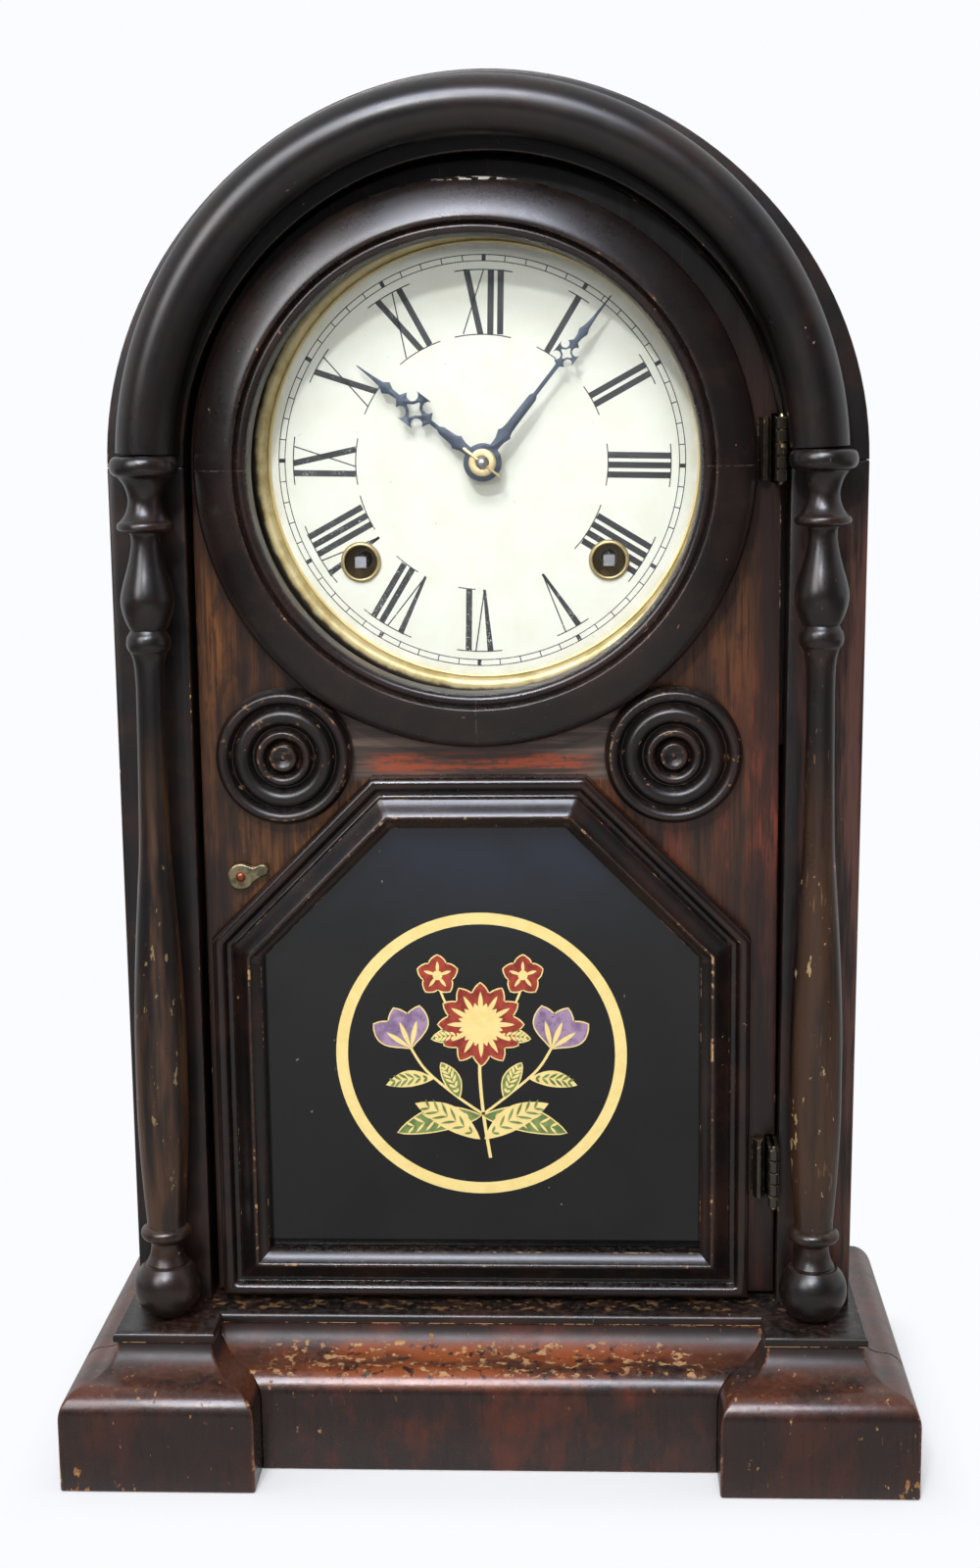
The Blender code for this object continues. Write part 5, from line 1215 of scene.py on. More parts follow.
button = [(0.0, 7.5), (0.4, 7.35), (0.7, 6.9)]
button += flowing([(1.0, 6.6), (2.0, 6.9), (3.2, 7.3), (4.0, 6.8), (4.6, 4.6)], 4)
ROSETTE_X, ROSETTE_Z = 58.15, 214.155
for middle, half in ((7.0, 2.0), (12.4, 3.1), (18.1, 2.4)):
    button += ridge(middle, half, 4.2, 3.2)
button += [(20.5, 3.9), (20.5, 0.3), (0.0, 0.3)]
for side, name in SIDES:
    turning = lathe(button, at(TRIM_X + side * ROSETTE_X, DOOR_FACE, ROSETTE_Z), 96)
    keep(f"turned_rosette_{name}", turning, BLACK_ROSETTE, "door", [f"rosette_{name}"])
print("bezel", len(bezel), "points, rosette", len(button), "points")

# %% [markdown]
# ## The tablet
# Below the dial a moulded frame with cut upper corners holds a black glass tablet. The moulding was run in lengths
# and mitred at six corners, so each point of its profile becomes one six-cornered outline, drawn further in. Two
# guard points beside each mitre keep the wear at the corner from spreading along the whole length.


# %% Tablet moulding and glass
GUARD = 1.6


def guarded(corners):
    """Every corner of an outline with a point a little before and after it."""
    points = []
    for i, corner in enumerate(corners):
        here, before, after = Vector(corner), Vector(corners[i - 1]), Vector(corners[(i + 1) % len(corners)])
        points += [here + (before - here).normalized() * GUARD, here, here + (after - here).normalized() * GUARD]
    return points


moulding = [(0.0, 0.3), (0.0, 5.6)] + arc(2.0, 5.8, 2.0, 180, 10, 8)
moulding += [(4.3, 5.3), (5.4, 5.1), (6.1, 5.4), (6.3, 7.2)]
moulding += flowing([(6.4, 7.4), (8.0, 8.4), (10.0, 9.9), (11.2, 10.6), (11.8, 10.5), (12.2, 10.0)], 4)
moulding += [(13.6, 9.0), (15.0, 7.8), (15.0, 2.8), (9.2, 2.8), (9.2, 0.3)]
rings = []
for inset, lift in eased(moulding, 0.25, closed=True):
    rings.append([at(TRIM_X + x, DOOR_FACE - lift, z) for x, z in guarded(tablet_outline(inset))])
mitred = loft(rings, closed=True)
keep("mitred_moulding", mitred, BLACK_TABLET, "door", ["tablet_moulding"])

GLASS_FACE = 45.5
pane = slab([[(TRIM_X + x, z) for x, z in tablet_outline(9.5)]], GLASS_FACE, 2.2, 0.2, 2.0)
keep("tablet_pane", pane, TABLET_BLACK, "door", ["tablet_glass"])
print("moulding is 15 mm wide and", round(max(lift for inset, lift in moulding), 1), "mm proud")

# %% [markdown]
# ## The painted spray
# Tablets like this were stencilled in gold leaf and filled with colour behind the glass. This one carries a made-up
# spray of garden flowers inside a plain gilt ring. Each petal and leaf is a thin solid, with a slightly larger gold
# one behind it that shows as its outline.


# %% Petals, leaves and stems
def prisms(shape, outlines, front, thick):
    """Thin flat solids: outlines in X and Z, face at depth front."""
    for outline in outlines:
        near = [shape.verts.new(at(x, front, z)) for x, z in outline]
        far = [shape.verts.new(at(x, front + thick, z)) for x, z in outline]
        shape.faces.new(near)
        shape.faces.new(list(reversed(far)))
        for i in range(len(near)):
            j = (i + 1) % len(near)
            shape.faces.new((near[i], far[i], far[j], near[j]))
    return shape


def flat_ring(shape, x, z, inner, outer, front, thick, steps=120):
    profile = [(inner, 0.0), (outer, 0.0), (outer, -thick), (inner, -thick)]
    return lathe(profile, at(x, front, z), steps, ring=True, onto=shape)


def blade(x, z, angle, length, width, full=1.0, bend=0.0):
    """A leaf or petal from its root at (x, z). full below 1 moves its widest place outward."""
    sides = []
    for i in range(17):
        t = i / 16
        reach = width / 2 * math.sin(math.pi * t ** (1 / full)) ** 0.85 if 0 < i < 16 else 0.0
        sides.append((length * t, bend * math.sin(math.pi * t), reach))
    outline = [(u, v + reach) for u, v, reach in sides] + [(u, v - reach) for u, v, reach in reversed(sides[1:-1])]
    c, s = math.cos(math.radians(angle)), math.sin(math.radians(angle))
    return [(x + u * c - v * s, z + u * s + v * c) for u, v in outline]


def ribbon(knots, width):
    line = [Vector(point) for point in flowing(knots, 8)]
    left, right_side = [], []
    for i, point in enumerate(line):
        along = (line[min(i + 1, len(line) - 1)] - line[max(i - 1, 0)]).normalized()
        off = Vector((-along.y, along.x)) * width / 2
        left.append(tuple(point + off))
        right_side.append(tuple(point - off))
    return left + list(reversed(right_side))


def side_veins(x, z, angle, length, width, bend, count=6):
    """Slanting veins on both sides of a leaf made by blade()."""
    veins = []
    c, s = math.cos(math.radians(angle)), math.sin(math.radians(angle))
    for k in range(count):
        t = 0.14 + 0.66 * k / (count - 1)
        reach = width / 2 * math.sin(math.pi * t) ** 0.85
        u, v = length * t, bend * math.sin(math.pi * t)
        for lean in (-38, 38):
            veins.append(blade(x + u * c - v * s, z + u * s + v * c, angle + lean, 1.3 * reach, 0.8))
    return veins


def petals(x, z, count, length, width, full=0.75, first=90.0):
    return [blade(x, z, first + 360 * i / count, length, width, full) for i in range(count)]


print("a petal has", len(blade(0, 0, 90, 10, 4)), "points")

# %% [markdown]
# The spray is drawn once for each side of its stem: five leaves, a lilac bud of three petals and a small red
# flower, with a large red flower in the middle. Shapes of one colour lie at slightly different depths, so that no
# two faces fall together and flicker.

# %% The spray
SPRAY_X, SPRAY_Z = -2.3, 121.4
INK_T = 0.03
leaf_shapes, red_shapes, lilac_shapes, stem_shapes, dot_shapes = [], [], [], [], []
vein_shapes, green_veins = [], []
stem_shapes += [ribbon([(2.5, -33), (0.6, -20), (-0.5, -6), (0, 6)], 1.0)]
for side in (-1, 1):
    toward_out = 0 if side > 0 else 180
    stem_shapes += [ribbon([(0.4, -19), (side * 8, -13), (side * 17, -5), (side * 21.5, 2)], 0.8)]
    stem_shapes += [ribbon([(0, -3), (side * 6, 8), (side * 11, 17), (side * 13, 23)], 0.7)]
    leaves = [(0.6, -27, 30, 23, 7.6, 1.4), (0.4, -19.5, -12, 26, 7.2, 1.6), (7.0, -13.6, 64, 12, 4.6, 0.6),
              (14.5, -7.6, -8, 15, 5.2, 1.0), (5.0, 6.0, -6, 10, 4.0, 0.5)]
    for i, (x, z, angle, length, width, bend) in enumerate(leaves):
        spec = (side * x, z, toward_out + side * angle, length, width, side * bend)
        leaf = blade(*spec[:5], 1.0, spec[5])
        if i in (0, 3):
            dot_shapes.append(leaf)
            green_veins += side_veins(*spec)
        else:
            leaf_shapes.append(leaf)
            vein_shapes += side_veins(*spec)
    for spread in (-34, 34, 0):
        lilac_shapes.append(blade(side * 21.5, 2, 90 - side * 22 + spread, 13.5, 7.0, 0.72))
        vein_shapes.append(blade(side * 21.5, 2, 90 - side * 22 + spread, 9.0, 1.5, 0.9))
    red_shapes += petals(side * 13, 25, 5, 6.2, 4.8, 0.8)
    vein_shapes += petals(side * 13, 25, 5, 4.4, 1.0)
    dot_shapes.append(ring_of(side * 13, 25, 1.5, 20))
red_shapes += petals(0, 9.5, 12, 13.0, 5.4, 0.7)
vein_shapes += petals(0, 9.5, 12, 10.4, 1.5, 0.7) + petals(0, 9.5, 12, 7.0, 2.0, 0.7, 105.0)
dot_shapes.append(ring_of(0, 9.5, 3.2, 28))


def shifted(outlines, grow=0.0):
    """The outlines moved to the spray's place, pushed outward by grow."""
    moved = []
    for outline in outlines:
        points = [Vector(point) for point in outline]
        turning = sum(points[i - 1].cross(points[i]) for i in range(len(points)))
        out = 1 if turning > 0 else -1
        line = []
        for i, point in enumerate(points):
            along = (points[(i + 1) % len(points)] - points[i - 1]).normalized()
            line.append((SPRAY_X + point.x + out * grow * along.y, SPRAY_Z + point.y - out * grow * along.x))
        moved.append(line)
    return moved


gold = flat_ring(bmesh.new(), SPRAY_X, SPRAY_Z, 40.9, 44.5, GLASS_FACE - 0.04, INK_T)
prisms(gold, shifted(leaf_shapes + lilac_shapes + red_shapes, 0.42), GLASS_FACE - 0.04, INK_T)
prisms(gold, shifted(stem_shapes), GLASS_FACE - 0.05, INK_T)
for i, outline in enumerate(shifted(dot_shapes + vein_shapes)):
    prisms(gold, [outline], GLASS_FACE - 0.16 - 0.0003 * i, INK_T)
keep("gilt_ring_and_outlines", gold, GILT, "door")
for name, outlines, finish in (("leaves", leaf_shapes, GREEN), ("red_flowers", red_shapes, RED),
                               ("lilac_flowers", lilac_shapes, LILAC)):
    paint = bmesh.new()
    for i, outline in enumerate(shifted(outlines)):
        prisms(paint, [outline], GLASS_FACE - 0.08 - 0.0015 * i, INK_T)
    if name == "leaves":
        prisms(paint, shifted(green_veins), GLASS_FACE - 0.26, INK_T)
    keep(f"painted_{name}", paint, finish, "door")
print("spray:", len(leaf_shapes) + 4, "leaves,", len(red_shapes) + len(lilac_shapes), "petals")

# %% [markdown]
# ## The dial
# The dial is a sheet of zinc with a hole for the hands and two for the winding key, each lined with a brass
# grommet. A brass ring with a beaded lip frames it. The figures were printed: in each numeral the strokes stay
# parallel and stand with their feet to the centre, between two curved hairlines.

# %% Dial sheet, rim and grommets
DIAL_FACE = 60.0
WINDING_X, WINDING_Z = 37.3, 271.0
centre_hole = hole(0, 0, 4.55, 40)
key_holes = [hole(side * WINDING_X, WINDING_Z - ARCH_Z, 5.5, 40) for side in (-1, 1)]
sheet = slab([arched(90.0, 214.5 - ARCH_Z, 0.0), centre_hole, *key_holes], DIAL_FACE, 1.2, 0.15, 1.0, z=ARCH_Z)
keep("painted_dial", sheet, DIAL_CREAM, "case", ["dial_plate"])

rim = flowing([(64.6, 1.0), (65.4, 2.2), (66.4, 2.75), (68.0, 2.7), (69.0, 2.3)], 4)
rim += [(69.5, 1.6), (69.5, 0.3), (64.2, 0.3)]
sight_ring = lathe(rim, at(0, DIAL_FACE, ARCH_Z), 160, ring=True)
LIP_STEPS, LIP_R, LIP_H = 1000, 64.1, 0.9
rows = []
for i in range(LIP_STEPS):
    a = 2 * math.pi * i / LIP_STEPS
    thick = 0.46 if i % 2 else 0.36
    row = []
    for k in range(8):
        b = 2 * math.pi * k / 8
        r, h = LIP_R + thick * math.cos(b), LIP_H + thick * math.sin(b)
        row.append(at(r * math.cos(a), DIAL_FACE - h, ARCH_Z + r * math.sin(a)))
    rows.append(row)
loft(rows, closed=True, onto=sight_ring)
keep("beaded_sight_ring", sight_ring, RIM_BRASS, "case", ["dial_rim"])

eyelet = [(4.9, 0.8)] + flowing([(5.0, 1.1), (5.35, 1.3), (5.8, 1.05), (6.1, 0.6)], 3)
eyelet += [(6.1, 0.3), (5.3, 0.3), (5.3, -2.0), (4.9, -2.0)]
for side, name in SIDES:
    turning = lathe(eyelet, at(side * WINDING_X, DIAL_FACE, WINDING_Z), 64, ring=True)
    keep(f"brass_eyelet_{name}", turning, EYELET_BRASS, "case", [f"grommet_{name}"])
print("sight ring and lip:", 2 * 69.5, "mm across")

# %% [markdown]
# A numeral is laid out flat, with u across it and v outward from the centre, and then turned to its hour. Thick
# strokes are 1.85 mm wide and fine ones 0.4 mm. The minute track is two fine circles with a tick for each minute
# and a block at every fifth. Where a winding hole goes through a figure, the stroke is cut off at its edge.

# %% Numerals and minute track
THICK, HAIR, BETWEEN = 1.85, 0.4, 1.05
FOOT_R, HEAD_R = 37.7, 56.4
PRINT_X, PRINT_Z, PRINT_TURN = -0.6, ARCH_Z - 0.4, 1.3
V_WIDE, X_WIDE = 5.6, 6.2
TRACK_INNER, TRACK_OUTER = 58.9, 60.7
CIRCLE_WIDE, SERIF, HOLE_R = 0.34, 2.4, 5.6
SPELLED = dict(enumerate("I II III IIII V VI VII VIII IX X XI XII".split(), 1))


def letter(kind, u):
    """The strokes of one letter that starts at u, and its width."""
    if kind == "I":
        return [[(u, FOOT_R), (u + THICK, FOOT_R), (u + THICK, HEAD_R), (u, HEAD_R)]], THICK
    if kind == "V":
        point = u + V_WIDE / 2
        heavy = [(point - 0.5 * HAIR, FOOT_R), (point + 0.6, FOOT_R), (u + THICK, HEAD_R), (u, HEAD_R)]
        fine = [(point, FOOT_R), (point + HAIR, FOOT_R), (u + V_WIDE, HEAD_R), (u + V_WIDE - HAIR, HEAD_R)]
        return [heavy, fine], V_WIDE
    heavy = [(u + X_WIDE - THICK, FOOT_R), (u + X_WIDE, FOOT_R), (u + THICK, HEAD_R), (u, HEAD_R)]
    fine = [(u, FOOT_R), (u + HAIR, FOOT_R), (u + X_WIDE, HEAD_R), (u + X_WIDE - HAIR, HEAD_R)]
    return [heavy, fine], X_WIDE


def hairline(r, start, end):
    """A thin piece of a circle about the dial's centre, from u = start to u = end at radius r."""
    angles = [(start + (end - start) * i / 12) / r for i in range(13)]
    outer, inner = r + CIRCLE_WIDE / 2, r - CIRCLE_WIDE / 2
    line = [(outer * math.sin(a), outer * math.cos(a)) for a in angles]
    return line + [(inner * math.sin(a), inner * math.cos(a)) for a in reversed(angles)]


def turned_to(hour, outline):
    """The outline at its hour, on a print that was never quite straight on the sheet."""
    a = math.radians(30 * hour + PRINT_TURN)
    c, s = math.cos(a), math.sin(a)
    return [(PRINT_X + u * c + v * s, PRINT_Z - u * s + v * c) for u, v in outline]


def split_by(outline, gaps):
    """The parts of an outline on the two sides of a line, from each corner's signed distance to it."""
    near, beyond = [], []
    for i, (corner, gap) in enumerate(zip(outline, gaps)):
        last, last_gap = outline[i - 1], gaps[i - 1]
        if gap * last_gap < 0:
            t = last_gap / (last_gap - gap)
            crossing = tuple(a + (b - a) * t for a, b in zip(last, corner))
            near.append(crossing)
            beyond.append(crossing)
        (near if gap <= 0 else beyond).append(corner)
    return near, beyond


def outside_hole(outline, x, z, radius):
    """What is left of a stroke where a round hole cuts it."""
    sides, kept, inner = 24, [], outline
    for i in range(sides):
        a = 2 * math.pi * i / sides
        gaps = [(px - x) * math.cos(a) + (pz - z) * math.sin(a) - radius for px, pz in inner]
        inner, beyond = split_by(inner, gaps)
        if len(beyond) > 2:
            kept.append(beyond)
        if len(inner) < 3:
            return [outline]
    return kept


print("letters are", HEAD_R - FOOT_R, "mm high")

# %% [markdown]
# The letters of each numeral are set side by side about its middle, with a hairline over their heads and one under
# their feet, where a pointed V has none. All the ink is one thin mesh that lies on the sheet, so that it stays
# crisp at any size, which a painted image would not.

# %% The print
strokes, hairlines = [], []
for hour, spelled in SPELLED.items():
    widths = [letter(kind, 0)[1] for kind in spelled]
    u = -(sum(widths) + BETWEEN * (len(spelled) - 1)) / 2
    first, solid_start, solid_end = u, None, None
    for kind, wide in zip(spelled, widths):
        strokes += [turned_to(hour, outline) for outline in letter(kind, u)[0]]
        if kind != "V":
            solid_start = u if solid_start is None else solid_start
            solid_end = u + wide
        u += wide + BETWEEN
    hairlines.append(turned_to(hour, hairline(HEAD_R, first - 2.6, u - BETWEEN + 2.6)))
    if solid_start is not None:
        reach = 1.0 if "V" in spelled else SERIF
        hairlines.append(turned_to(hour, hairline(FOOT_R, solid_start - reach, solid_end + SERIF)))
for minute in range(60):
    half = 0.6 if minute % 5 == 0 else 0.15
    tick = [(-half, TRACK_INNER), (half, TRACK_INNER), (half, TRACK_OUTER), (-half, TRACK_OUTER)]
    strokes.append(turned_to(minute / 5, tick))
for side in (-1, 1):
    strokes = [part for outline in strokes for part in outside_hole(outline, side * WINDING_X, WINDING_Z, HOLE_R)]
ink = prisms(bmesh.new(), strokes, DIAL_FACE - 0.02, 0.02)
prisms(ink, hairlines, DIAL_FACE - 0.025, 0.02)
for r in (TRACK_INNER, TRACK_OUTER):
    flat_ring(ink, PRINT_X, PRINT_Z, r - 0.14, r + 0.14, DIAL_FACE - 0.03, 0.02, 240)
keep("printed_figures", ink, DIAL_INK, "case")
print("print:", len(strokes), "strokes and", len(hairlines), "hairlines")

# %% [markdown]
# ## The hands
# The hands were stamped from thin steel and blued: a round hub, a swelling, a pierced cross and a pointed tip. An
# outline with its holes is enough, given the slight rounding that stamping leaves. A brass washer and a tapered pin
# hold them on the centre arbor.


# %% Hands
def cross_side(middle, reach, notch_at, notch_r, steps=7):
    """Right half of a cross with flared arms: round bites out of a disc."""
    bite = math.degrees(math.acos((reach**2 + notch_at**2 - notch_r**2) / (2 * reach * notch_at)))
    points = []
    for corner in (-45, 45):
        nx, nz = notch_at * math.cos(math.radians(corner)), notch_at * math.sin(math.radians(corner))
        ends = []
        for angle in (corner - bite, corner + bite):
            px, pz = reach * math.cos(math.radians(angle)), reach * math.sin(math.radians(angle))
            ends.append(math.degrees(math.atan2(pz - nz, px - nx)))
        start, end = ends
        while end > start:
            end -= 360
        points += arc(nx, nz, notch_r, start, end, steps)
    return [(x, middle + z) for x, z in points]


def cross_hole(middle, corner, side):
    """The small pointed opening in the middle of the cross."""
    slope = 0.5 * (corner + side)
    points = []
    for quarter in range(4):
        for turned, r in ((0, corner), (14, slope), (30, side * 1.08), (45, side), (60, side * 1.08), (76, slope)):
            a = math.radians(90 * quarter + turned)
            points.append((r * math.cos(a), middle + r * math.sin(a)))
    return points


def hand_outlines(bore, lobe, step, cross, barb, length):
    """lobe, step and barb are (height, half-width), and cross is (height, reach, bite at, bite)."""
    neck = 0.62
    half = arc(0, 0, 5.6, -90, 76, 20)
    half += [(1.35, lobe[0] - 3.6), (1.5, lobe[0] - 2.2), (lobe[1], lobe[0]), (lobe[1] - 0.5, lobe[0] + 0.5)]
    half += flowing([(1.5, lobe[0] + 1.7), (1.42, lobe[0] + 3.0)], 3)
    half += [(step[1] + 0.25, step[0] - 0.6), (step[1], step[0]), (neck, step[0] + 0.6)]
    half += [(neck, cross[0] - cross[1] - 0.4)] + cross_side(*cross)
    half += [(neck + 0.2, cross[0] + cross[1] + 0.6), (neck + 0.3, barb[0] - 1.8), (barb[1], barb[0])]
    half += [(0.9, barb[0] + 1.6), (0.5, barb[0] + 5.0), (0.16, length)]
    outline = half + [(-x, z) for x, z in reversed(half) if x > 1e-6]
    piercing = cross_hole(cross[0], 0.5 * cross[1], 0.29 * cross[1])
    return [outline, hole(0, 0, bore, 32), list(reversed(piercing))]


print("hand outline helpers ready")

# %% [markdown]
# Both hands come from the same outline with their own sizes, and each is turned clockwise to the time that the
# clock shows. The hour hand lies behind the minute hand, and the washer, the pin and the rounded end of the arbor
# lie in front.

# %% Hands on their arbor
HANDS = {
    "minute": (52.1, 38.6, hand_outlines(2.0, (10.6, 2.3), (24.5, 1.0), (40.0, 3.9, 2.95, 1.3), (48.0, 1.5), 61.0)),
    "hour": (55.0, 307.8, hand_outlines(3.7, (9.8, 2.3), (15.8, 1.0), (25.4, 5.5, 4.3, 1.8), (36.0, 2.0), 46.7)),
}
for name, (front, turned, outlines) in HANDS.items():
    hand = slab(outlines, front, 0.8, 0.12, 0, z=ARCH_Z, turned=turned)
    keep(f"stamped_{name}_hand", hand, BLUED, name, [f"{name}_hand"])
dish = [(2.0, 0.55)] + flowing([(2.4, 0.62), (3.2, 0.6), (3.8, 0.4), (4.1, 0.1)], 3) + [(4.1, 0.0), (2.0, 0.0)]
washer = lathe(dish, at(0, 51.8, ARCH_Z), 48, ring=True)
keep("dished_washer", washer, PALE_BRASS, "minute", ["hand_washer"])
peg = [(0.0, 7.1), (0.3, 7.0), (0.5, 6.7), (0.35, -6.8), (0.2, -7.05), (0.0, -7.1)]
pin = lathe(peg, Vector((0, 0, 0)), 16, "up")
pin.transform(Matrix.Translation(at(0, 50.4, ARCH_Z)) @ Matrix.Rotation(math.radians(-52.0), 4, "Y"))
keep("tapered_pin", pin, PALE_BRASS, "minute", ["taper_pin"])
tip = [(0.0, 0.75), (0.7, 0.65), (1.3, 0.3), (1.65, -0.3), (1.72, -0.9), (1.6, -1.0), (0.0, -1.0)]
keep("domed_arbor_end", lathe(tip, at(0, 49.4, ARCH_Z), 32), STEEL, "minute")
print("hands at", {name: turned for name, (front, turned, outlines) in HANDS.items()}, "degrees")

# %% [markdown]
# ## Hinges and latch
# Two small butt hinges carry the door. Each leaf is folded from strip round the pin, three knuckles on the case and
# two on the door, and the door's leaf is wrapped over the front of the board. The latch is a small cast knob shaped
# like a pear, which turns an arm behind the door.


# %% Hinges and latch
HINGE_X, HINGE_DEPTH, BARREL_R, PIN_BORE = 86.5, 37.0, 1.7, 0.95
ROLLED = [(80.3, 47.7), (80.3, 46.8), (81.0, 46.6), (81.2, 45.2), (82.0, 44.1), (83.1, 44.1), (83.7, 45.2),
          (83.8, 46.5), (84.3, 46.8), (84.3, 47.7)]


def join(shape, other):
    """Adds another mesh to this one."""
    carrier = bpy.data.meshes.new("carrier")
    other.to_mesh(carrier)
    other.free()
    shape.from_mesh(carrier)
    bpy.data.meshes.remove(carrier)
    return shape


def knuckle(foot, top):
    half = [(PIN_BORE, 0.0), (BARREL_R - 0.3, 0.0), (BARREL_R, 0.3)]
    barrel = [(r, foot + h) for r, h in half] + [(r, top - h) for r, h in reversed(half)]
    return lathe(barrel, at(HINGE_X, HINGE_DEPTH, 0), 32, "up", ring=True)


def hinge(name, low):
    pitch, top = HINGE_H / 5, low + HINGE_H
    for side, body, first in ((1, "case", 0), (-1, "door", 1)):
        x0, x1 = HINGE_X + side * 0.6, HINGE_X + side * 1.5
        leaf = planed_block(at(x0, 39.0, low + 0.15), at(x1, 54.0, top - 0.15), 0.15, 0.5)
        for i in range(first, 5, 2):
            foot, head = low + i * pitch, low + (i + 1) * pitch
            join(leaf, knuckle(foot + 0.15, head - 0.15))
            join(leaf, planed_block(at(x0, 38.0, foot + 0.2), at(x1, 39.6, head - 0.2), 0.1, 0.3))
        if body == "door":
            wrap = eased(ROLLED, 0.3, closed=True)
            heights = (low + 0.2, low + 0.6, top - 0.6, top - 0.2)
            join(leaf, loft([[at(x, depth, z) for x, depth in wrap] for z in heights]))
        keep(f"folded_{name}_{body}_leaf", leaf, LACQUER, body, [f"{name}_{body}_leaf"])
    dome = [(0.0, 0.9), (0.5, 0.75), (0.8, 0.3)]
    rod = [(r, top + h) for r, h in dome] + [(r, low - h) for r, h in reversed(dome)]
    pin = lathe(rod, at(HINGE_X, HINGE_DEPTH, 0), 20, "up")
    keep(f"domed_{name}_pin", pin, LACQUER, "case", [f"{name}_pin"])


for name, low in zip(("hinge_lower", "hinge_upper"), HINGE_FEET):
    hinge(name, low)

pear = arc(0, 0, 4.1, 42, 318, 30) + arc(6.8, -0.1, 1.95, -112, 100, 14)
pear += flowing([(6.0, 1.75), (4.6, 1.75), (3.5, 2.4)], 3)
knob = slab([pear], 44.9, 1.7, 0.6, 0.5, LATCH_X, LATCH_Z, -18.0)
stem = [(0.0, 3.75), (0.8, 3.6), (1.3, 3.3), (1.5, 2.9), (1.5, -9.9), (0.0, -9.9)]
join(knob, lathe(stem, at(LATCH_X, DOOR_FACE, LATCH_Z), 32))
keep("pear_knob", knob, LATCH, "latch", ["latch_knob"])
print("hinges at", HINGE_FEET, "mm; the knob has", len(pear), "outline points")

# %% [markdown]
# ## Pendulum, hammer and gong
# These show when the door is open. The bob is a brass shell pressed like a lens over lead, hung on a steel wire
# with a nut below it to set the rate. The gong is a flat coil of steel wire held in a cast post, and the hammer is
# a short brass cylinder on a wire. A section carried along a spiral makes the coil, and the rest is turned.

# %% Pendulum, hammer and gong
ROD_DEPTH, BOB_Z, GONG_DEPTH, GONG_Z = 63.1, 148.0, 99.2, 104.5
shell = flowing([(0.0, 4.0), (5.0, 3.8), (10.0, 3.05), (14.0, 1.9), (16.4, 0.95)], 5)
shell += flowing([(16.7, 0.95), (17.3, 1.1), (17.8, 0.7), (18.0, 0.0)], 4)
shell += [(r, -h) for r, h in reversed(shell[:-1])]
bob = lathe(shell, at(0, ROD_DEPTH, BOB_Z), 96)
keep("pressed_bob", bob, BRASS, "pendulum", ["pendulum_bob"])
wire = [(0.0, 278.0), (0.6, 277.9), (0.8, 277.6), (0.8, 129.4), (2.3, 129.4), (2.6, 129.1), (2.6, 127.5)]
wire += [(2.3, 127.2), (0.8, 127.2), (0.8, 124.3), (0.6, 124.0), (0.0, 124.0)]
hung = lathe(wire, at(0, ROD_DEPTH, 0), 24, "up")
join(hung, planed_block(at(-0.25, 62.1, 275.0), at(0.25, 64.1, 286.0), 0.08, 0.1))
keep("pendulum_wire", hung, STEEL, "pendulum", ["pendulum_rod"])

TURNS, PER_TURN, COIL_R, COIL_PITCH, WIRE_R = 3, 96, 12.0, 9.0, 1.5
coil = []
for i in range(TURNS * PER_TURN + 1):
    a, r = 2 * math.pi * i / PER_TURN, COIL_R + COIL_PITCH * i / PER_TURN
    thick = 0.5 * WIRE_R if i in (0, TURNS * PER_TURN) else WIRE_R
    section = ring_of(0, 0, thick, 12)
    coil.append([at((r + u) * math.cos(a), GONG_DEPTH + v, GONG_Z + (r + u) * math.sin(a)) for u, v in section])
keep("coiled_gong", loft(coil), DARK_STEEL, "case", ["gong"])
post = flowing([(0.0, 4.6), (1.6, 4.5), (2.6, 4.1)], 3) + [(3.0, 3.6), (7.4, 3.6), (8.2, 3.2), (9.4, 2.6)]
post += flowing([(10.0, 1.9), (10.2, 0.8), (10.2, -1.2), (9.6, -2.4), (8.2, -3.8), (7.2, -5.4), (7.0, -8.0)], 3)
post += [(7.0, -12.6), (6.7, -13.2), (0.0, -13.4)]
stand = lathe(post, at(0, GONG_DEPTH, GONG_Z), 64)
keep("cast_gong_post", stand, DARK_STEEL, "case", ["gong_stand"])

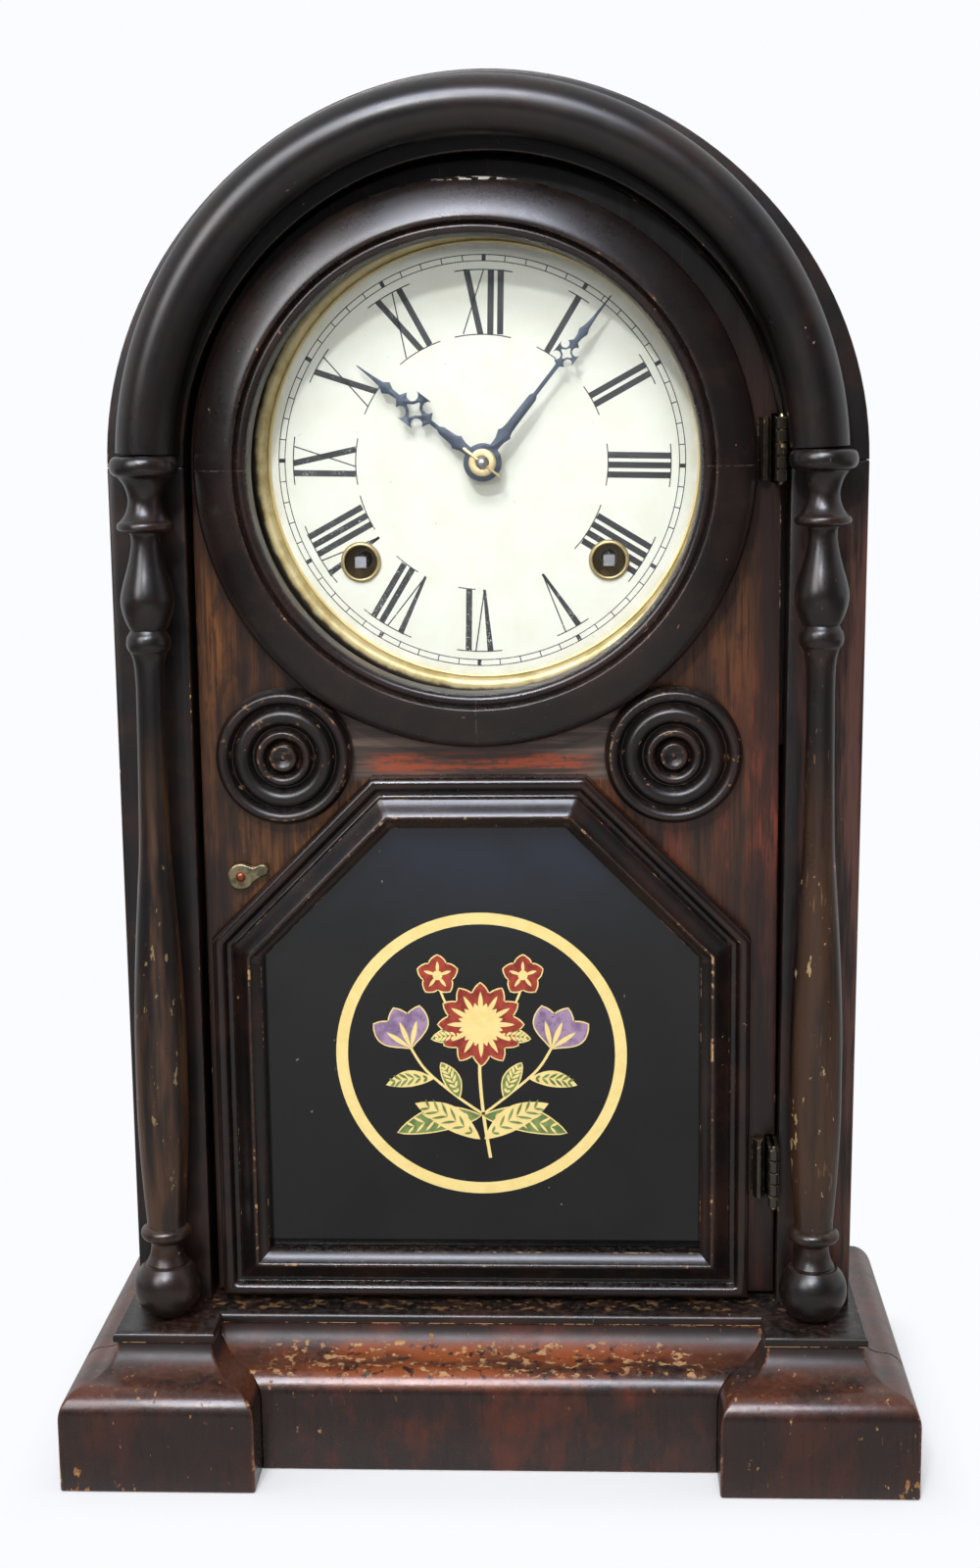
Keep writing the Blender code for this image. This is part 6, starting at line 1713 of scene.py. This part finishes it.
HAMMER_X = -12.0
beater = [(0.0, 257.5), (1.0, 257.3), (1.0, 153.5), (3.2, 153.5), (3.8, 153.2), (4.0, 152.6), (4.0, 150.6)]
beater += [(3.75, 150.3), (3.75, 148.7), (4.0, 148.4), (4.0, 146.4), (3.7, 145.7), (3.0, 145.5), (0.0, 145.5)]
striker = lathe(beater, at(HAMMER_X, GONG_DEPTH, 0), 40, "up")
arbor = [(0.0, 30.2), (0.9, 30.1), (1.2, 29.8), (1.2, -5.4), (0.9, -5.7), (0.0, -5.8)]
join(striker, lathe(arbor, at(HAMMER_X, GONG_DEPTH, 256.5), 24))
keep("wire_hammer", striker, STEEL, "hammer_body", ["hammer"])
print("gong wire is", round(sum(2 * math.pi * (COIL_R + COIL_PITCH * (k + 0.5)) for k in range(TURNS))), "mm long")

# %% [markdown]
# ## Everything behind the door
# The movement is hidden by the dial and the back board, and the CAD pieces already have their shapes. They still
# need finishes: brass for plates and wheels, steel for arbors and springs. The dial glass also keeps its CAD shape,
# and it lets light through without a shadow, as thin clear glass does.

# %% Finishes for the remaining pieces
REMAINING = {
    PINE: ["dial_cleat_left", "dial_cleat_right"],
    PLATE_BRASS_IN_PAINTED_SHADE: ["front_plate"],
    BRASS: ["back_plate", "hour_wheel", "minute_wheel", "escape_wheel", "latch_arm"],
    STEEL: ["centre_arbor", "time_arbor", "strike_arbor", "verge", "suspension_cock"],
    DARK_STEEL: ["time_mainspring", "strike_mainspring"],
    GLASS: ["dial_glass"],
}
for finish, names in REMAINING.items():
    for name in names:
        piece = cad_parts[name]
        piece.data.materials.clear()
        piece.data.materials.append(finish)
dial_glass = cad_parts["dial_glass"]
dial_glass.visible_shadow = False
dial_glass.visible_diffuse = False
print("finished", sum(len(names) for names in REMAINING.values()), "CAD pieces")

# %% [markdown]
# The dressed clock must stay the size of the CAD clock. The last line prints how many pieces were made and how many
# faces they have.

# %% Pieces and faces
print(len(made_pieces), "pieces;", sum(len(piece.data.polygons) for piece in made_pieces), "faces")
